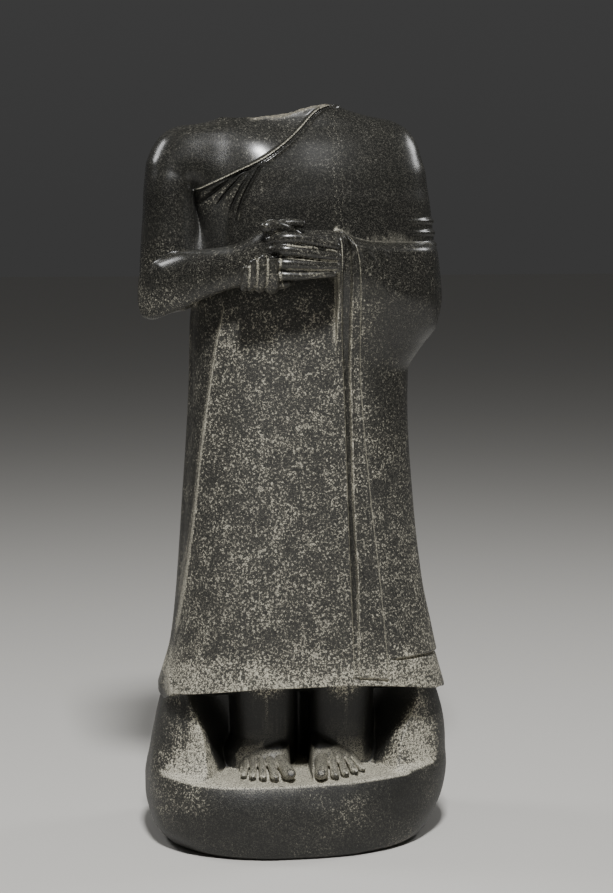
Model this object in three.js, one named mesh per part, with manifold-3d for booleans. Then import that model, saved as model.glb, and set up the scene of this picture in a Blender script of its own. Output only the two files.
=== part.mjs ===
// Headless standing figure of a ruler, carved with its rounded base from one dark stone.
// Millimetres, +Z up. The figure faces -Y, and +X is the side of its draped arm.
// The origin is on the ground under the middle of the statue.

import * as THREE from "three";
import { mergeVertices } from "three/addons/utils/BufferGeometryUtils.js";
import Module from "manifold-3d";

const wasm = await Module();
wasm.setup();

// Robe and torso: half widths to the bare and the draped side, depths to front and back,
// and how square the section is (2 is an ellipse)
const BODY = [
  { z: 255, bare: 226, draped: 252, front: 150, back: 166, square: 3.0 },
  { z: 330, bare: 205, draped: 232, front: 143, back: 158, square: 2.9 },
  { z: 400, bare: 197, draped: 219, front: 138, back: 148, square: 2.8 },
  { z: 560, bare: 186, draped: 200, front: 127, back: 128, square: 2.6 },
  { z: 730, bare: 175, draped: 190, front: 118, back: 112, square: 2.5 },
  { z: 780, bare: 173, draped: 191, front: 115, back: 109, square: 2.5 },
  { z: 825, bare: 172, draped: 217, front: 113, back: 108, square: 2.5 },
  { z: 860, bare: 171, draped: 240, front: 112, back: 108, square: 2.5 },
  { z: 900, bare: 170, draped: 246, front: 110, back: 110, square: 2.5 },
  { z: 1010, bare: 170, draped: 233, front: 106, back: 118, square: 2.5 },
  { z: 1056, bare: 176, draped: 228, front: 103, back: 120, square: 2.45 },
  { z: 1082, bare: 208, draped: 224, front: 98, back: 119, square: 2.4 },
  { z: 1106, bare: 240, draped: 221, front: 92, back: 115, square: 2.4 },
  { z: 1130, bare: 239, draped: 214, front: 84, back: 110, square: 2.4 },
  { z: 1152, bare: 226, draped: 207, front: 73, back: 100, square: 2.4 },
  { z: 1168, bare: 212, draped: 198, front: 62, back: 88, square: 2.4 },
  { z: 1177, bare: 191, draped: 189, front: 53, back: 78, square: 2.4 },
  { z: 1184, bare: 154, draped: 180, front: 47, back: 68, square: 2.4 },
  { z: 1192, bare: 135, draped: 163, front: 43, back: 58, square: 2.3 },
  { z: 1200, bare: 120, draped: 122, front: 39, back: 50, square: 2.2 },
  { z: 1211, bare: 110, draped: 84, front: 36, back: 46, square: 2.1 },
  { z: 1226, bare: 104, draped: 60, front: 34, back: 44, square: 2.0 },
];
const BODY_SIDES = 36;
const BODY_STEP = 86;

// Rounded block under the feet and its two side walls, which carry the robe
const LEDGE = 122;
const BASE = [
  { z: 0, bare: 206, draped: 200, front: 170, back: 170, square: 2.4 },
  { z: 10, bare: 224, draped: 217, front: 177, back: 180, square: 2.4 },
  { z: 36, bare: 243, draped: 238, front: 180, back: 186, square: 2.4 },
  { z: 75, bare: 249, draped: 256, front: 179, back: 188, square: 2.3 },
  { z: 100, bare: 249, draped: 260, front: 171, back: 188, square: 2.2 },
  { z: 114, bare: 248, draped: 260, front: 165, back: 187, square: 2.2 },
  { z: 122, bare: 247, draped: 260, front: 158, back: 186, square: 2.2 },
  { z: 134, bare: 246, draped: 260, front: 138, back: 185, square: 2.3 },
  { z: 170, bare: 242, draped: 257, front: 118, back: 180, square: 2.4 },
  { z: 228, bare: 230, draped: 247, front: 108, back: 170, square: 2.5 },
  { z: 275, bare: 220, draped: 240, front: 106, back: 160, square: 2.6 },
];
const BASE_SIDES = 36;

// Niche round the feet: half widths at the mouth, closing towards the wall behind the legs
const NICHE = [
  { z: 122, bare: 126, draped: 122 },
  { z: 130, bare: 150, draped: 143 },
  { z: 146, bare: 161, draped: 154 },
  { z: 170, bare: 170, draped: 164 },
  { z: 200, bare: 180, draped: 186 },
  { z: 232, bare: 198, draped: 210 },
  { z: 258, bare: 214, draped: 218 },
];
const NICHE_MOUTH_Y = -105;
const NICHE_WALL_Y = -14;
const NICHE_CLOSING = 0.7;
const HEM_RISE = 22;

// Legs in the niche: middle and half width of each, from the floor up into the robe
const LEG_SIDES = 12;
const LEG_DEPTH = 44;
const LEG_Y = -30;
const LEGS = [
  { inner: -12, outer: -112, heel: -131 },
  { inner: 13, outer: 122, heel: 140 },
];

// Feet: toe tips from the big toe outwards, with the radius of each toe at its root
const TOE_RADII = [13.5, 10, 9.5, 9, 8.5];
const TOE_LENGTH = [48, 42, 38, 34, 30];
const FEET = [
  { heel: [-64, -48], tips: [[-25, -149], [-47, -144], [-66, -136], [-82, -127], [-96, -116]] },
  { heel: [66, -48], tips: [[30, -156], [57, -148], [76, -138], [92, -127], [106, -114]] },
];
const INSTEP_HEIGHT = 64;
const INSTEP_FALL = 32;
const ANKLE_HALF_WIDTH = 44;
const TOE_OVERLAP = 30;

// Section of a foot from its outer to its inner edge, in half widths across and insteps up
const FOOT_SECTION = [
  [-1, -0.1],
  [-1, 0.15],
  [-0.7, 0.62],
  [-0.2, 0.93],
  [0.35, 1],
  [0.8, 0.85],
  [1, 0.3],
  [1, -0.1],
];

// Bare arm: upper arm down the side, forearm forward and across
const ARM_SIDES = 14;
const FOREARM_LEAN = -0.35;
const UPPER_ARM = [
  { z: 868, x: -213, halfWidth: 26, y: -6, halfDepth: 26 },
  { z: 876, x: -211, halfWidth: 43, y: -6, halfDepth: 42 },
  { z: 900, x: -207, halfWidth: 50, y: -4, halfDepth: 52 },
  { z: 950, x: -203, halfWidth: 49, y: 0, halfDepth: 55 },
  { z: 1013, x: -202, halfWidth: 47, y: 3, halfDepth: 57 },
  { z: 1062, x: -202, halfWidth: 42, y: 3, halfDepth: 59 },
  { z: 1100, x: -200, halfWidth: 42, y: 3, halfDepth: 56 },
  { z: 1126, x: -190, halfWidth: 44, y: 6, halfDepth: 56 },
];
const FOREARM = [
  { x: -256, y: -34, z: 912, high: 18, deep: 11.5 },
  { x: -250, y: -38, z: 915, high: 35, deep: 26 },
  { x: -236, y: -46, z: 919, high: 45, deep: 40 },
  { x: -208, y: -62, z: 930, high: 46, deep: 44 },
  { x: -165, y: -90, z: 944, high: 39, deep: 38 },
  { x: -125, y: -118, z: 955, high: 34, deep: 32 },
  { x: -100, y: -136, z: 962, high: 36, deep: 31 },
  { x: -75, y: -148, z: 971, high: 43, deep: 32 },
  { x: -50, y: -152, z: 977, high: 41, deep: 30 },
  { x: -40, y: -152, z: 976, high: 34, deep: 24 },
];

// Clasped hands: four level fingers of the bare hand over the palm of the other
const LEVEL_FINGERS = [
  { root: 1004, tip: 989, thick: 11, thin: 7 },
  { root: 983, tip: 973, thick: 9.5, thin: 7.5 },
  { root: 963, tip: 958, thick: 9.5, thin: 7.2 },
  { root: 944, tip: 947, thick: 8.5, thin: 5.8 },
];
const FINGER_ROOT_X = -54;
const FINGER_TIP_X = 38;
const FINGER_FRONT_Y = -178;
const HAND_SIDES = 12;
const PALM_Z = 965;
const PALM = [
  { x: -68, y: -138, deep: 20, high: 24 },
  { x: -58, y: -138, deep: 32, high: 40 },
  { x: -10, y: -137, deep: 34, high: 44 },
  { x: 30, y: -132, deep: 33, high: 44 },
  { x: 58, y: -122, deep: 26, high: 38 },
];

// Lower edge of both hands, where the fingers of the draped hand turn up
const UNDER_EDGE = { y: -146, z: 930 };
const UNDER_EDGE_RINGS = [
  { x: -118, deep: 8, high: 6 },
  { x: -100, deep: 24, high: 12 },
  { x: -60, deep: 30, high: 13 },
  { x: -20, deep: 30, high: 12 },
  { x: 20, deep: 26, high: 9 },
  { x: 45, deep: 18, high: 6 },
];

// Thumbs along the top of the hands, each from its root to its tip
const DRAPED_THUMB = {
  points: [[48, -146, 1004], [0, -158, 1009], [-50, -166, 1016], [-90, -166, 1010]],
  thick: 10,
  thin: 8,
};
const BARE_THUMB = {
  points: [[-66, -152, 1012], [-40, -152, 1021], [-4, -148, 1021]],
  thick: 8.5,
  thin: 7,
};

// Four upright fingertips of the draped hand, closing over the edge of the bare one
const UPRIGHT_FINGERS = [
  { x: -108, top: 966, radius: 6.2 },
  { x: -97, top: 975, radius: 7.0 },
  { x: -83, top: 981, radius: 8.0 },
  { x: -67, top: 979, radius: 8.6 },
];
const UPRIGHT_FOOT_Z = 925;
const UPRIGHT_FRONT_Y = -181;

// Draped sleeve over the far forearm: how far it stands out, from the wrist to the elbow
const SLEEVE_TOP = 1002;
const SLEEVE_DROP = 215;
const SLEEVE = [
  { x: 50, out: 38 },
  { x: 85, out: 36 },
  { x: 130, out: 32 },
  { x: 180, out: 25 },
  { x: 215, out: 16 },
  { x: 238, out: 3 },
];

// Mantle and robe edges drawn on the surface as [x, z] from their upper end
const NECK_EDGE = [[27, 1204], [-18, 1160], [-69, 1126], [-118, 1102], [-172, 1076]];
const NECK_EDGE_BACK = [[40, 1200], [-25, 1160], [-100, 1118], [-172, 1082]];
const CHEST_FOLDS = [
  [[-66, 1121], [-87, 1085], [-101, 1053], [-108, 1020]],
  [[-77, 1118], [-102, 1093], [-123, 1066]],
  [[-90, 1112], [-115, 1089], [-143, 1060]],
  [[-106, 1104], [-130, 1086], [-157, 1067]],
];
const BORDER_FRONT = [[50, 1006], [54, 905], [61, 780], [66, 600], [70, 440], [74, 284]];
const BORDER_MIDDLE = [[64, 1002], [70, 900], [73, 740], [76, 580], [82, 440]];
const BORDER_REAR = [[75, 1000], [85, 890], [92, 740], [106, 578], [123, 415], [133, 282]];
const WRAP_EDGE = [[-128, 895], [-142, 822], [-158, 709], [-173, 578], [-188, 460], [-205, 350], [-219, 290]];
const WRIST_FOLDS = [
  [[66, 1000], [88, 975], [100, 940]],
  [[76, 1000], [104, 978], [122, 950]],
  [[90, 998], [122, 982], [146, 962]],
];
const NECK_ROLL = { width: 9, rise: 4, steps: 9, endScale: 0.8 };
const WRAP_STEP = { width: 9, rise: 4, steps: 12 };
const CHEST_FOLD = { width: 9, rise: 3.5, steps: 5, endScale: 0.45 };
const WRIST_FOLD = { width: 6, rise: 3, steps: 4 };
const BORDER_RIDGE = { width: 10, rise: 12, steps: 9 };
const BORDER_THICKNESS = 8;
const BORDER_STEPS = 16;

// Three short ridges round the draped elbow, by height and by angle from +X towards the front
const ELBOW_FOLDS_Z = [1026, 1009, 991];
const ELBOW_FOLD_HALF_HEIGHT = 6.5;
const ELBOW_FOLD_RISE = 5;
const ELBOW_FOLD_START = 42;
const ELBOW_FOLD_END = -20;

// Slanting cut where the outer layer of the mantle ends above the hem, by angle round the body
const NOTCH_Z = 316;
const NOTCH_HEIGHT = 16;
const NOTCH_DEPTH = 7;
const NOTCH_ANGLES = [-58, 60];

// Break at the neck: a shallow scoop, higher at the back and towards the draped shoulder
const BREAK = [[-132, 1195], [-95, 1190], [-45, 1190], [0, 1199], [40, 1208], [72, 1218]];
const BREAK_TILT = 0.13;

const DEGREE = Math.PI / 180;

// Value of one measure at a height or place, on a smooth curve that never overshoots its stations
function measure(stations, by, key, at) {
  const last = stations.length - 1;
  const slopes = [];
  for (let i = 0; i < last; i++) {
    slopes.push((stations[i + 1][key] - stations[i][key]) / (stations[i + 1][by] - stations[i][by]));
  }
  const tangent = (i) => {
    if (i === 0 || i === last) {
      return slopes[Math.min(i, last - 1)];
    }
    const product = slopes[i - 1] * slopes[i];
    return product <= 0 ? 0 : (2 * product) / (slopes[i - 1] + slopes[i]);
  };
  const place = THREE.MathUtils.clamp(at, stations[0][by], stations[last][by]);
  let i = 0;
  while (i < last - 1 && place > stations[i + 1][by]) {
    i++;
  }
  const span = stations[i + 1][by] - stations[i][by];
  const t = (place - stations[i][by]) / span;
  const from = stations[i][key];
  const to = stations[i + 1][key];
  const bend = (1 - t) * tangent(i) * span - t * tangent(i + 1) * span + (2 * t - 1) * (to - from);
  return from + t * (to - from) + t * (1 - t) * bend;
}

// Section of the body or the base at a height
function sectionAt(stations, z) {
  const section = { z };
  for (const key of ["bare", "draped", "front", "back", "square"]) {
    section[key] = measure(stations, "z", key, z);
  }
  return section;
}

// Point of a section's outline, with the angle counted from +X towards +Y
function outlinePoint(section, angle) {
  const c = Math.cos(angle);
  const s = Math.sin(angle);
  const power = 2 / section.square;
  const halfWidth = c < 0 ? section.bare : section.draped;
  const depth = s < 0 ? section.front : section.back;
  const x = Math.sign(c) * halfWidth * Math.abs(c) ** power;
  const y = Math.sign(s) * depth * Math.abs(s) ** power;
  return new THREE.Vector3(x, y, section.z);
}

// How far the cloth over the draped forearm stands out in front of the torso
function sleeveRise(x, z) {
  if (x < SLEEVE[0].x - 1 || z > SLEEVE_TOP) {
    return 0;
  }
  const fall = (SLEEVE_TOP - z) / SLEEVE_DROP;
  const shoulder = Math.sin(Math.min(1, fall / 0.14) * Math.PI / 2);
  return measure(SLEEVE, "x", "out", x) * shoulder * Math.max(0, 1 - fall) ** 0.9;
}

// Depth of the dressed surface over a point of the front (facing -1) or back (facing 1) view
function surfaceY(x, z, facing) {
  const section = sectionAt(BODY, z);
  const halfWidth = x < 0 ? section.bare : section.draped;
  const depth = facing < 0 ? section.front : section.back;
  const across = Math.min(Math.abs(x) / halfWidth, 0.995);
  const y = facing * depth * (1 - across ** section.square) ** (1 / section.square);
  return facing < 0 ? y - sleeveRise(x, z) : y;
}

// Closed mesh through rings of equally many points, with its two ends capped
function loft(rings) {
  const count = rings[0].length;
  const positions = [];
  const index = [];
  for (const ring of rings) {
    for (const point of ring) {
      positions.push(point.x, point.y, point.z);
    }
  }
  for (let r = 0; r < rings.length - 1; r++) {
    for (let i = 0; i < count; i++) {
      const a = r * count + i;
      const b = r * count + ((i + 1) % count);
      index.push(a, b, b + count, a, b + count, a + count);
    }
  }
  for (const [r, flip] of [[0, true], [rings.length - 1, false]]) {
    const centre = new THREE.Vector3();
    for (const point of rings[r]) {
      centre.addScaledVector(point, 1 / count);
    }
    const hub = positions.length / 3;
    positions.push(centre.x, centre.y, centre.z);
    for (let i = 0; i < count; i++) {
      const a = r * count + i;
      const b = r * count + ((i + 1) % count);
      index.push(...(flip ? [hub, b, a] : [hub, a, b]));
    }
  }
  const geometry = new THREE.BufferGeometry();
  geometry.setAttribute("position", new THREE.Float32BufferAttribute(positions, 3));
  geometry.setIndex(index);
  return solid(geometry);
}

// Solid of a closed mesh, turned outwards if its faces point in
function solid(geometry) {
  geometry.deleteAttribute("normal");
  geometry.deleteAttribute("uv");
  const merged = mergeVertices(geometry, 1e-4);
  const vertProperties = new Float32Array(merged.attributes.position.array);
  const triVerts = new Uint32Array(merged.index.array);
  if (signedVolume(vertProperties, triVerts) < 0) {
    triVerts.reverse();
  }
  return new wasm.Manifold(new wasm.Mesh({ numProp: 3, vertProperties, triVerts }));
}

// Six times the volume that a mesh encloses, negative when its faces point in
function signedVolume(vertices, triangles) {
  const corner = (i) => new THREE.Vector3().fromArray(vertices, 3 * triangles[i]);
  let volume = 0;
  for (let i = 0; i < triangles.length; i += 3) {
    volume += corner(i).dot(corner(i + 1).cross(corner(i + 2)));
  }
  return volume;
}

// Joins a list of solids into one
function join(solids) {
  return solids.reduce((whole, piece) => whole.add(piece));
}

// Ring of an ellipse spanned by two half axes
function ellipseRing(centre, axisA, axisB, count) {
  const ring = [];
  for (let i = 0; i < count; i++) {
    const angle = (2 * Math.PI * i) / count;
    const point = centre.clone().addScaledVector(axisA, Math.cos(angle));
    ring.push(point.addScaledVector(axisB, Math.sin(angle)));
  }
  return ring;
}

// Finger, thumb or toe: a tapering rod with round ends along a curve
function digit(points, thick, thin, sides = 7, steps = 3) {
  const curve = new THREE.CatmullRomCurve3(points.map((point) => new THREE.Vector3(...point)));
  const length = curve.getLength();
  const cap = 1 - Math.cos(50 * DEGREE);
  const places = [0, (thick * cap) / length];
  for (let i = 1; i <= steps; i++) {
    places.push((thick + (i / steps) * (length - thick - thin)) / length);
  }
  places.push(1 - (thin * cap) / length, 1);
  const rings = places.map((place, i) => {
    const centre = curve.getPointAt(THREE.MathUtils.clamp(place, 0, 1));
    const along = curve.getTangentAt(THREE.MathUtils.clamp(place, 0, 1));
    const side = Math.abs(along.z) > 0.7 ? new THREE.Vector3(1, 0, 0) : new THREE.Vector3(0, 0, 1);
    const axisA = new THREE.Vector3().crossVectors(along, side).normalize();
    const axisB = new THREE.Vector3().crossVectors(along, axisA).normalize();
    const fromEnd = Math.min(i, places.length - 1 - i);
    const round = [0.2, 0.8][fromEnd] ?? 1;
    const radius = THREE.MathUtils.lerp(thick, thin, place) * round;
    return ellipseRing(centre, axisA.multiplyScalar(radius), axisB.multiplyScalar(radius), sides);
  });
  return loft(rings);
}

// Fold or edge that stands on the surface along [x, z] points, thinning out towards its ends
function fold(points, { width, rise, facing = -1, steps = 12, endScale = 0.25, sink = 9 }) {
  const flat = new THREE.CatmullRomCurve3(points.map(([x, z]) => new THREE.Vector3(x, 0, z)));
  const onSurface = (place) => {
    const point = flat.getPointAt(place);
    point.y = surfaceY(point.x, point.z, facing);
    return point;
  };
  const rings = [];
  for (let i = 0; i <= steps; i++) {
    const place = i / steps;
    const centre = onSurface(place);
    const before = onSurface(Math.max(0, place - 0.01));
    const along = onSurface(Math.min(1, place + 0.01)).sub(before).normalize();
    const slopeX = (surfaceY(centre.x + 2, centre.z, facing) - surfaceY(centre.x - 2, centre.z, facing)) / 4;
    const slopeZ = (surfaceY(centre.x, centre.z + 2, facing) - surfaceY(centre.x, centre.z - 2, facing)) / 4;
    const out = new THREE.Vector3(-slopeX * facing, facing, -slopeZ * facing).normalize();
    const across = new THREE.Vector3().crossVectors(along, out).normalize();
    const size = endScale + (1 - endScale) * Math.sin(Math.PI * place) ** 0.5;
    const half = (width / 2) * size;
    const corners = [[-half, -sink], [-half, 0], [0, rise * size], [half, 0], [half, -sink]];
    rings.push(corners.map(([u, v]) => centre.clone().addScaledVector(across, u).addScaledVector(out, v)));
  }
  return loft(rings);
}

// Flat strip of cloth that lies on the surface between two edges given as [x, z] points
function strip(edgeA, edgeB, rise, steps) {
  const curves = [edgeA, edgeB].map((edge) => (
    new THREE.CatmullRomCurve3(edge.map(([x, z]) => new THREE.Vector3(x, 0, z)))
  ));
  const sink = 14;
  const rings = [];
  for (let i = 0; i <= steps; i++) {
    const [a, b] = curves.map((curve) => curve.getPointAt(i / steps));
    const ring = [];
    for (const [share, lift] of [[0, -sink], [0, rise], [0.5, rise], [1, rise * 0.6], [1, -sink]]) {
      const x = THREE.MathUtils.lerp(a.x, b.x, share);
      const z = THREE.MathUtils.lerp(a.z, b.z, share);
      ring.push(new THREE.Vector3(x, surfaceY(x, z, -1) - lift, z));
    }
    rings.push(ring);
  }
  return loft(rings);
}

// Heights of the rings of a loft: every station, and even steps between those that lie far apart
function levels(stations, step) {
  const heights = [stations[0].z];
  for (let i = 1; i < stations.length; i++) {
    const from = stations[i - 1].z;
    const parts = Math.ceil((stations[i].z - from) / step);
    for (let k = 1; k <= parts; k++) {
      heights.push(THREE.MathUtils.lerp(from, stations[i].z, k / parts));
    }
  }
  return heights;
}

// Robe and torso up to the neck
function makeBody() {
  const rings = levels(BODY, BODY_STEP).map((z) => {
    const section = sectionAt(BODY, z);
    const ring = [];
    for (let i = 0; i < BODY_SIDES; i++) {
      ring.push(outlinePoint(section, (2 * Math.PI * i) / BODY_SIDES));
    }
    return ring;
  });
  return loft(rings);
}

// Rounded base with the two walls that rise beside the feet
function makeBase() {
  const rings = BASE.map((section) => {
    const ring = [];
    for (let i = 0; i < BASE_SIDES; i++) {
      ring.push(outlinePoint(section, (2 * Math.PI * i) / BASE_SIDES));
    }
    return ring;
  });
  return loft(rings);
}

// Space round the feet, under the arched hem, that is cut out of the base
function makeNiche() {
  const outline = (scale) => {
    const points = [];
    for (const station of NICHE) {
      points.push([-station.bare * scale, station.z]);
    }
    const top = NICHE[NICHE.length - 1];
    const archSteps = 8;
    for (let i = 1; i < archSteps; i++) {
      const share = i / archSteps;
      const x = THREE.MathUtils.lerp(-top.bare, top.draped, share) * scale;
      points.push([x, top.z + HEM_RISE * Math.sin(Math.PI * share) ** 0.6]);
    }
    for (const station of [...NICHE].reverse()) {
      points.push([station.draped * scale, station.z]);
    }
    return points;
  };
  const depths = [[-260, 1], [NICHE_MOUTH_Y, 1], [-60, 0.86], [NICHE_WALL_Y, NICHE_CLOSING]];
  const rings = depths.map(([y, scale]) => outline(scale).map(([x, z]) => new THREE.Vector3(x, y, z)));
  return loft(rings);
}

// Clears the ledge in front of the side walls, over the whole width of the base
function makeLedgeCut() {
  const wall = NICHE_MOUTH_Y - 12;
  const top = BODY[0].z - 3;
  const profile = [
    [-300, LEDGE - 5],
    [-150, LEDGE],
    [wall - 10, LEDGE + 3],
    [wall - 2, LEDGE + 12],
    [wall, top],
    [-300, top],
  ];
  const side = NICHE[0].bare;
  return loft([-side, side].map((x) => profile.map(([y, z]) => new THREE.Vector3(x, y, z))));
}

// One leg, from the floor of the niche into the robe
function makeLeg({ inner, outer, heel }) {
  const heights = [
    { z: LEDGE - 10, inner, outer: heel },
    { z: LEDGE + 28, inner, outer: heel },
    { z: LEDGE + 50, inner, outer },
    { z: LEDGE + 100, inner, outer },
    { z: LEDGE + 180, inner, outer },
  ];
  return loft(heights.map((height) => {
    const halfWidth = Math.abs(height.outer - height.inner) / 2;
    const centre = new THREE.Vector3((height.inner + height.outer) / 2, LEG_Y, height.z);
    const sideways = new THREE.Vector3(halfWidth, 0, 0);
    return ellipseRing(centre, sideways, new THREE.Vector3(0, LEG_DEPTH, 0), LEG_SIDES);
  }));
}

// One foot: the instep falls forward from the ankle, and the toes fan out in front of it
function makeFoot({ heel, tips }) {
  const inner = tips[0];
  const outer = tips[tips.length - 1];
  const towardInner = Math.sign(inner[0] - outer[0]);
  const innerEdge = inner[0] + towardInner * TOE_RADII[0];
  const outerEdge = outer[0] - towardInner * TOE_RADII[tips.length - 1];
  const rings = [];
  for (const share of [0, 0.25, 0.5, 0.75, 1]) {
    const middle = THREE.MathUtils.lerp(heel[0], (innerEdge + outerEdge) / 2, share);
    const halfWidth = THREE.MathUtils.lerp(ANKLE_HALF_WIDTH, Math.abs(innerEdge - outerEdge) / 2, share);
    const y = THREE.MathUtils.lerp(heel[1], (inner[1] + outer[1]) / 2 + TOE_OVERLAP, share);
    const turn = ((inner[1] - outer[1]) / 2) * share;
    const height = INSTEP_HEIGHT - INSTEP_FALL * share ** 2;
    rings.push(FOOT_SECTION.map(([across, up]) => (
      new THREE.Vector3(middle + towardInner * across * halfWidth, y + turn * across, LEDGE + up * height)
    )));
  }
  const toes = tips.map(([x, y], i) => {
    const radius = TOE_RADII[i];
    const spread = (x - heel[0]) * 0.18;
    const root = [x - spread, y + TOE_LENGTH[i], LEDGE + radius * 1.25];
    const knuckle = [x - spread * 0.4, y + TOE_LENGTH[i] * 0.5, LEDGE + radius * 1.2];
    return digit([root, knuckle, [x, y, LEDGE + radius * 0.62]], radius, radius * 0.82, 6, 2);
  });
  return join([loft(rings), ...toes]);
}

// Bare upper arm, forearm and the back of the hand
function makeBareArm() {
  const upper = loft(UPPER_ARM.map(({ z, x, halfWidth, y, halfDepth }) => {
    const sideways = new THREE.Vector3(halfWidth, 0, 0);
    return ellipseRing(new THREE.Vector3(x, y, z), sideways, new THREE.Vector3(0, halfDepth, 0), ARM_SIDES);
  }));
  const lower = loft(FOREARM.map(({ x, y, z, high, deep }) => {
    const lean = new THREE.Vector3(FOREARM_LEAN * deep, deep, 0);
    return ellipseRing(new THREE.Vector3(x, y, z), lean, new THREE.Vector3(0, 0, high), ARM_SIDES);
  }));
  return upper.add(lower);
}

// Both hands: palm below, four level fingers, four upright fingertips and two thumbs
function makeHands() {
  const handRing = ({ x, y, z, deep, high }) => {
    const forward = new THREE.Vector3(0, deep, 0);
    return ellipseRing(new THREE.Vector3(x, y, z), forward, new THREE.Vector3(0, 0, high), HAND_SIDES);
  };
  const palmRings = PALM.map((ring) => handRing({ z: PALM_Z, ...ring }));
  const edgeRings = UNDER_EDGE_RINGS.map((ring) => handRing({ ...UNDER_EDGE, ...ring }));
  const level = LEVEL_FINGERS.map(({ root, tip, thick, thin }) => {
    const middle = (root + tip) / 2 + (root - tip) * 0.12;
    const middleX = (FINGER_ROOT_X + FINGER_TIP_X) / 2;
    return digit([
      [FINGER_ROOT_X - thick, FINGER_FRONT_Y + 8, root],
      [middleX, FINGER_FRONT_Y + 3, middle],
      [FINGER_TIP_X + thin, FINGER_FRONT_Y + 14, tip],
    ], thick, thin);
  });
  const upright = UPRIGHT_FINGERS.map(({ x, top, radius }) => digit([
    [x + 6, UPRIGHT_FRONT_Y + 40, UPRIGHT_FOOT_Z - 2],
    [x + 2, UPRIGHT_FRONT_Y + 9, UPRIGHT_FOOT_Z],
    [x, UPRIGHT_FRONT_Y, UPRIGHT_FOOT_Z + 20],
    [x, UPRIGHT_FRONT_Y + 2, top],
  ], radius, radius * 0.95));
  const thumbs = [DRAPED_THUMB, BARE_THUMB].map(({ points, thick, thin }) => digit(points, thick, thin));
  return join([loft(palmRings), loft(edgeRings), ...level, ...upright, ...thumbs]);
}

// Cloth over the far forearm, falling from its level top edge down into the robe
function makeSleeve() {
  const drops = [0, 0.02, 0.06, 0.14, 0.3, 0.5, 0.75, 1];
  const widest = sectionAt(BODY, 900).draped;
  const rings = [50, 62, 85, 110, 140, 170, 195, 215, 230].map((reach) => {
    const ring = drops.map((drop) => {
      const z = SLEEVE_TOP - drop * SLEEVE_DROP;
      const narrowing = Math.min(1, sectionAt(BODY, z).draped / widest);
      const x = THREE.MathUtils.lerp(reach, reach * narrowing, reach / widest);
      return new THREE.Vector3(x, surfaceY(x, z, -1), z);
    });
    const inside = -30;
    ring.push(new THREE.Vector3(reach * 0.75, inside, SLEEVE_TOP - SLEEVE_DROP));
    ring.push(new THREE.Vector3(reach * 0.9, inside, SLEEVE_TOP));
    return ring;
  });
  return loft(rings);
}

// Edges and folds of the mantle and the robe
function makeDrapery() {
  const folds = [
    fold(NECK_EDGE, NECK_ROLL),
    fold(NECK_EDGE_BACK, { ...NECK_ROLL, facing: 1 }),
    fold(WRAP_EDGE, WRAP_STEP),
    fold(BORDER_MIDDLE, BORDER_RIDGE),
    ...CHEST_FOLDS.map((points) => fold(points, CHEST_FOLD)),
    ...WRIST_FOLDS.map((points) => fold(points, WRIST_FOLD)),
  ];
  return join([strip(BORDER_FRONT, BORDER_REAR, BORDER_THICKNESS, BORDER_STEPS), ...folds]);
}

// Short ridges round the outside of the draped elbow
function makeElbowFolds() {
  return join(ELBOW_FOLDS_Z.map((z) => {
    const rings = [];
    for (let i = 0; i <= 6; i++) {
      const share = i / 6;
      const angle = -THREE.MathUtils.lerp(ELBOW_FOLD_START, ELBOW_FOLD_END, share) * DEGREE;
      const centre = outlinePoint(sectionAt(BODY, z), angle);
      const out = new THREE.Vector3(centre.x, centre.y * 1.6, 0).normalize();
      const size = 0.2 + 0.8 * Math.sin(Math.PI * share);
      const up = new THREE.Vector3(0, 0, 1);
      const half = ELBOW_FOLD_HALF_HEIGHT * size;
      const corners = [[-half, -8], [-half, 0], [0, ELBOW_FOLD_RISE * size], [half, 0], [half, -8]];
      rings.push(corners.map(([u, v]) => centre.clone().addScaledVector(up, u).addScaledVector(out, v)));
    }
    return loft(rings);
  }));
}

// Slanting cut under the outer layer of the mantle, round the draped side
function makeNotch() {
  const rings = [];
  const steps = 12;
  for (let i = 0; i <= steps; i++) {
    const angle = THREE.MathUtils.lerp(NOTCH_ANGLES[0], NOTCH_ANGLES[1], i / steps) * DEGREE;
    const deep = NOTCH_DEPTH * Math.sin((Math.PI * i) / steps) ** 0.4 + 0.3;
    const corners = [[0, 5], [0, -deep], [-NOTCH_HEIGHT, 0], [-NOTCH_HEIGHT, 5]];
    rings.push(corners.map(([up, out]) => {
      const point = outlinePoint(sectionAt(BODY, NOTCH_Z + up), angle);
      const outward = new THREE.Vector3(point.x, point.y, 0).normalize();
      return point.addScaledVector(outward, out);
    }));
  }
  return loft(rings);
}

// Everything above the broken neck
function makeNeckBreak() {
  const top = 1300;
  const profile = [[-220, top], [-220, 1215], ...BREAK, [74, 1226], [90, 1232], [90, top]];
  const rings = [-150, 150].map((y) => profile.map(([x, z]) => {
    const tilted = z < top ? z + y * BREAK_TILT : z;
    return new THREE.Vector3(x, y, tilted);
  }));
  return loft(rings);
}

// The whole statue as one solid
function makeStatue() {
  const robe = join([makeBody(), makeSleeve(), makeDrapery(), makeElbowFolds()]);
  const trimmed = robe.subtract(makeNotch()).subtract(makeNeckBreak());
  const block = trimmed.add(makeBase()).subtract(makeNiche()).subtract(makeLedgeCut());
  return join([block, ...LEGS.map(makeLeg), ...FEET.map(makeFoot), makeBareArm(), makeHands()]);
}

// Mesh of a solid, named for the piece it is
function namedMesh(name, piece, material) {
  const { vertProperties, triVerts } = piece.getMesh();
  const geometry = new THREE.BufferGeometry();
  geometry.setAttribute("position", new THREE.BufferAttribute(new Float32Array(vertProperties), 3));
  geometry.setIndex(new THREE.BufferAttribute(new Uint32Array(triVerts), 1));
  geometry.computeVertexNormals();
  const mesh = new THREE.Mesh(geometry, material);
  mesh.name = name;
  return mesh;
}

const darkStone = new THREE.MeshStandardMaterial({ color: 0x3d3d37, roughness: 0.55, metalness: 0 });

const statueGroup = new THREE.Group();
statueGroup.add(namedMesh("statue", makeStatue(), darkStone));

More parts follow.
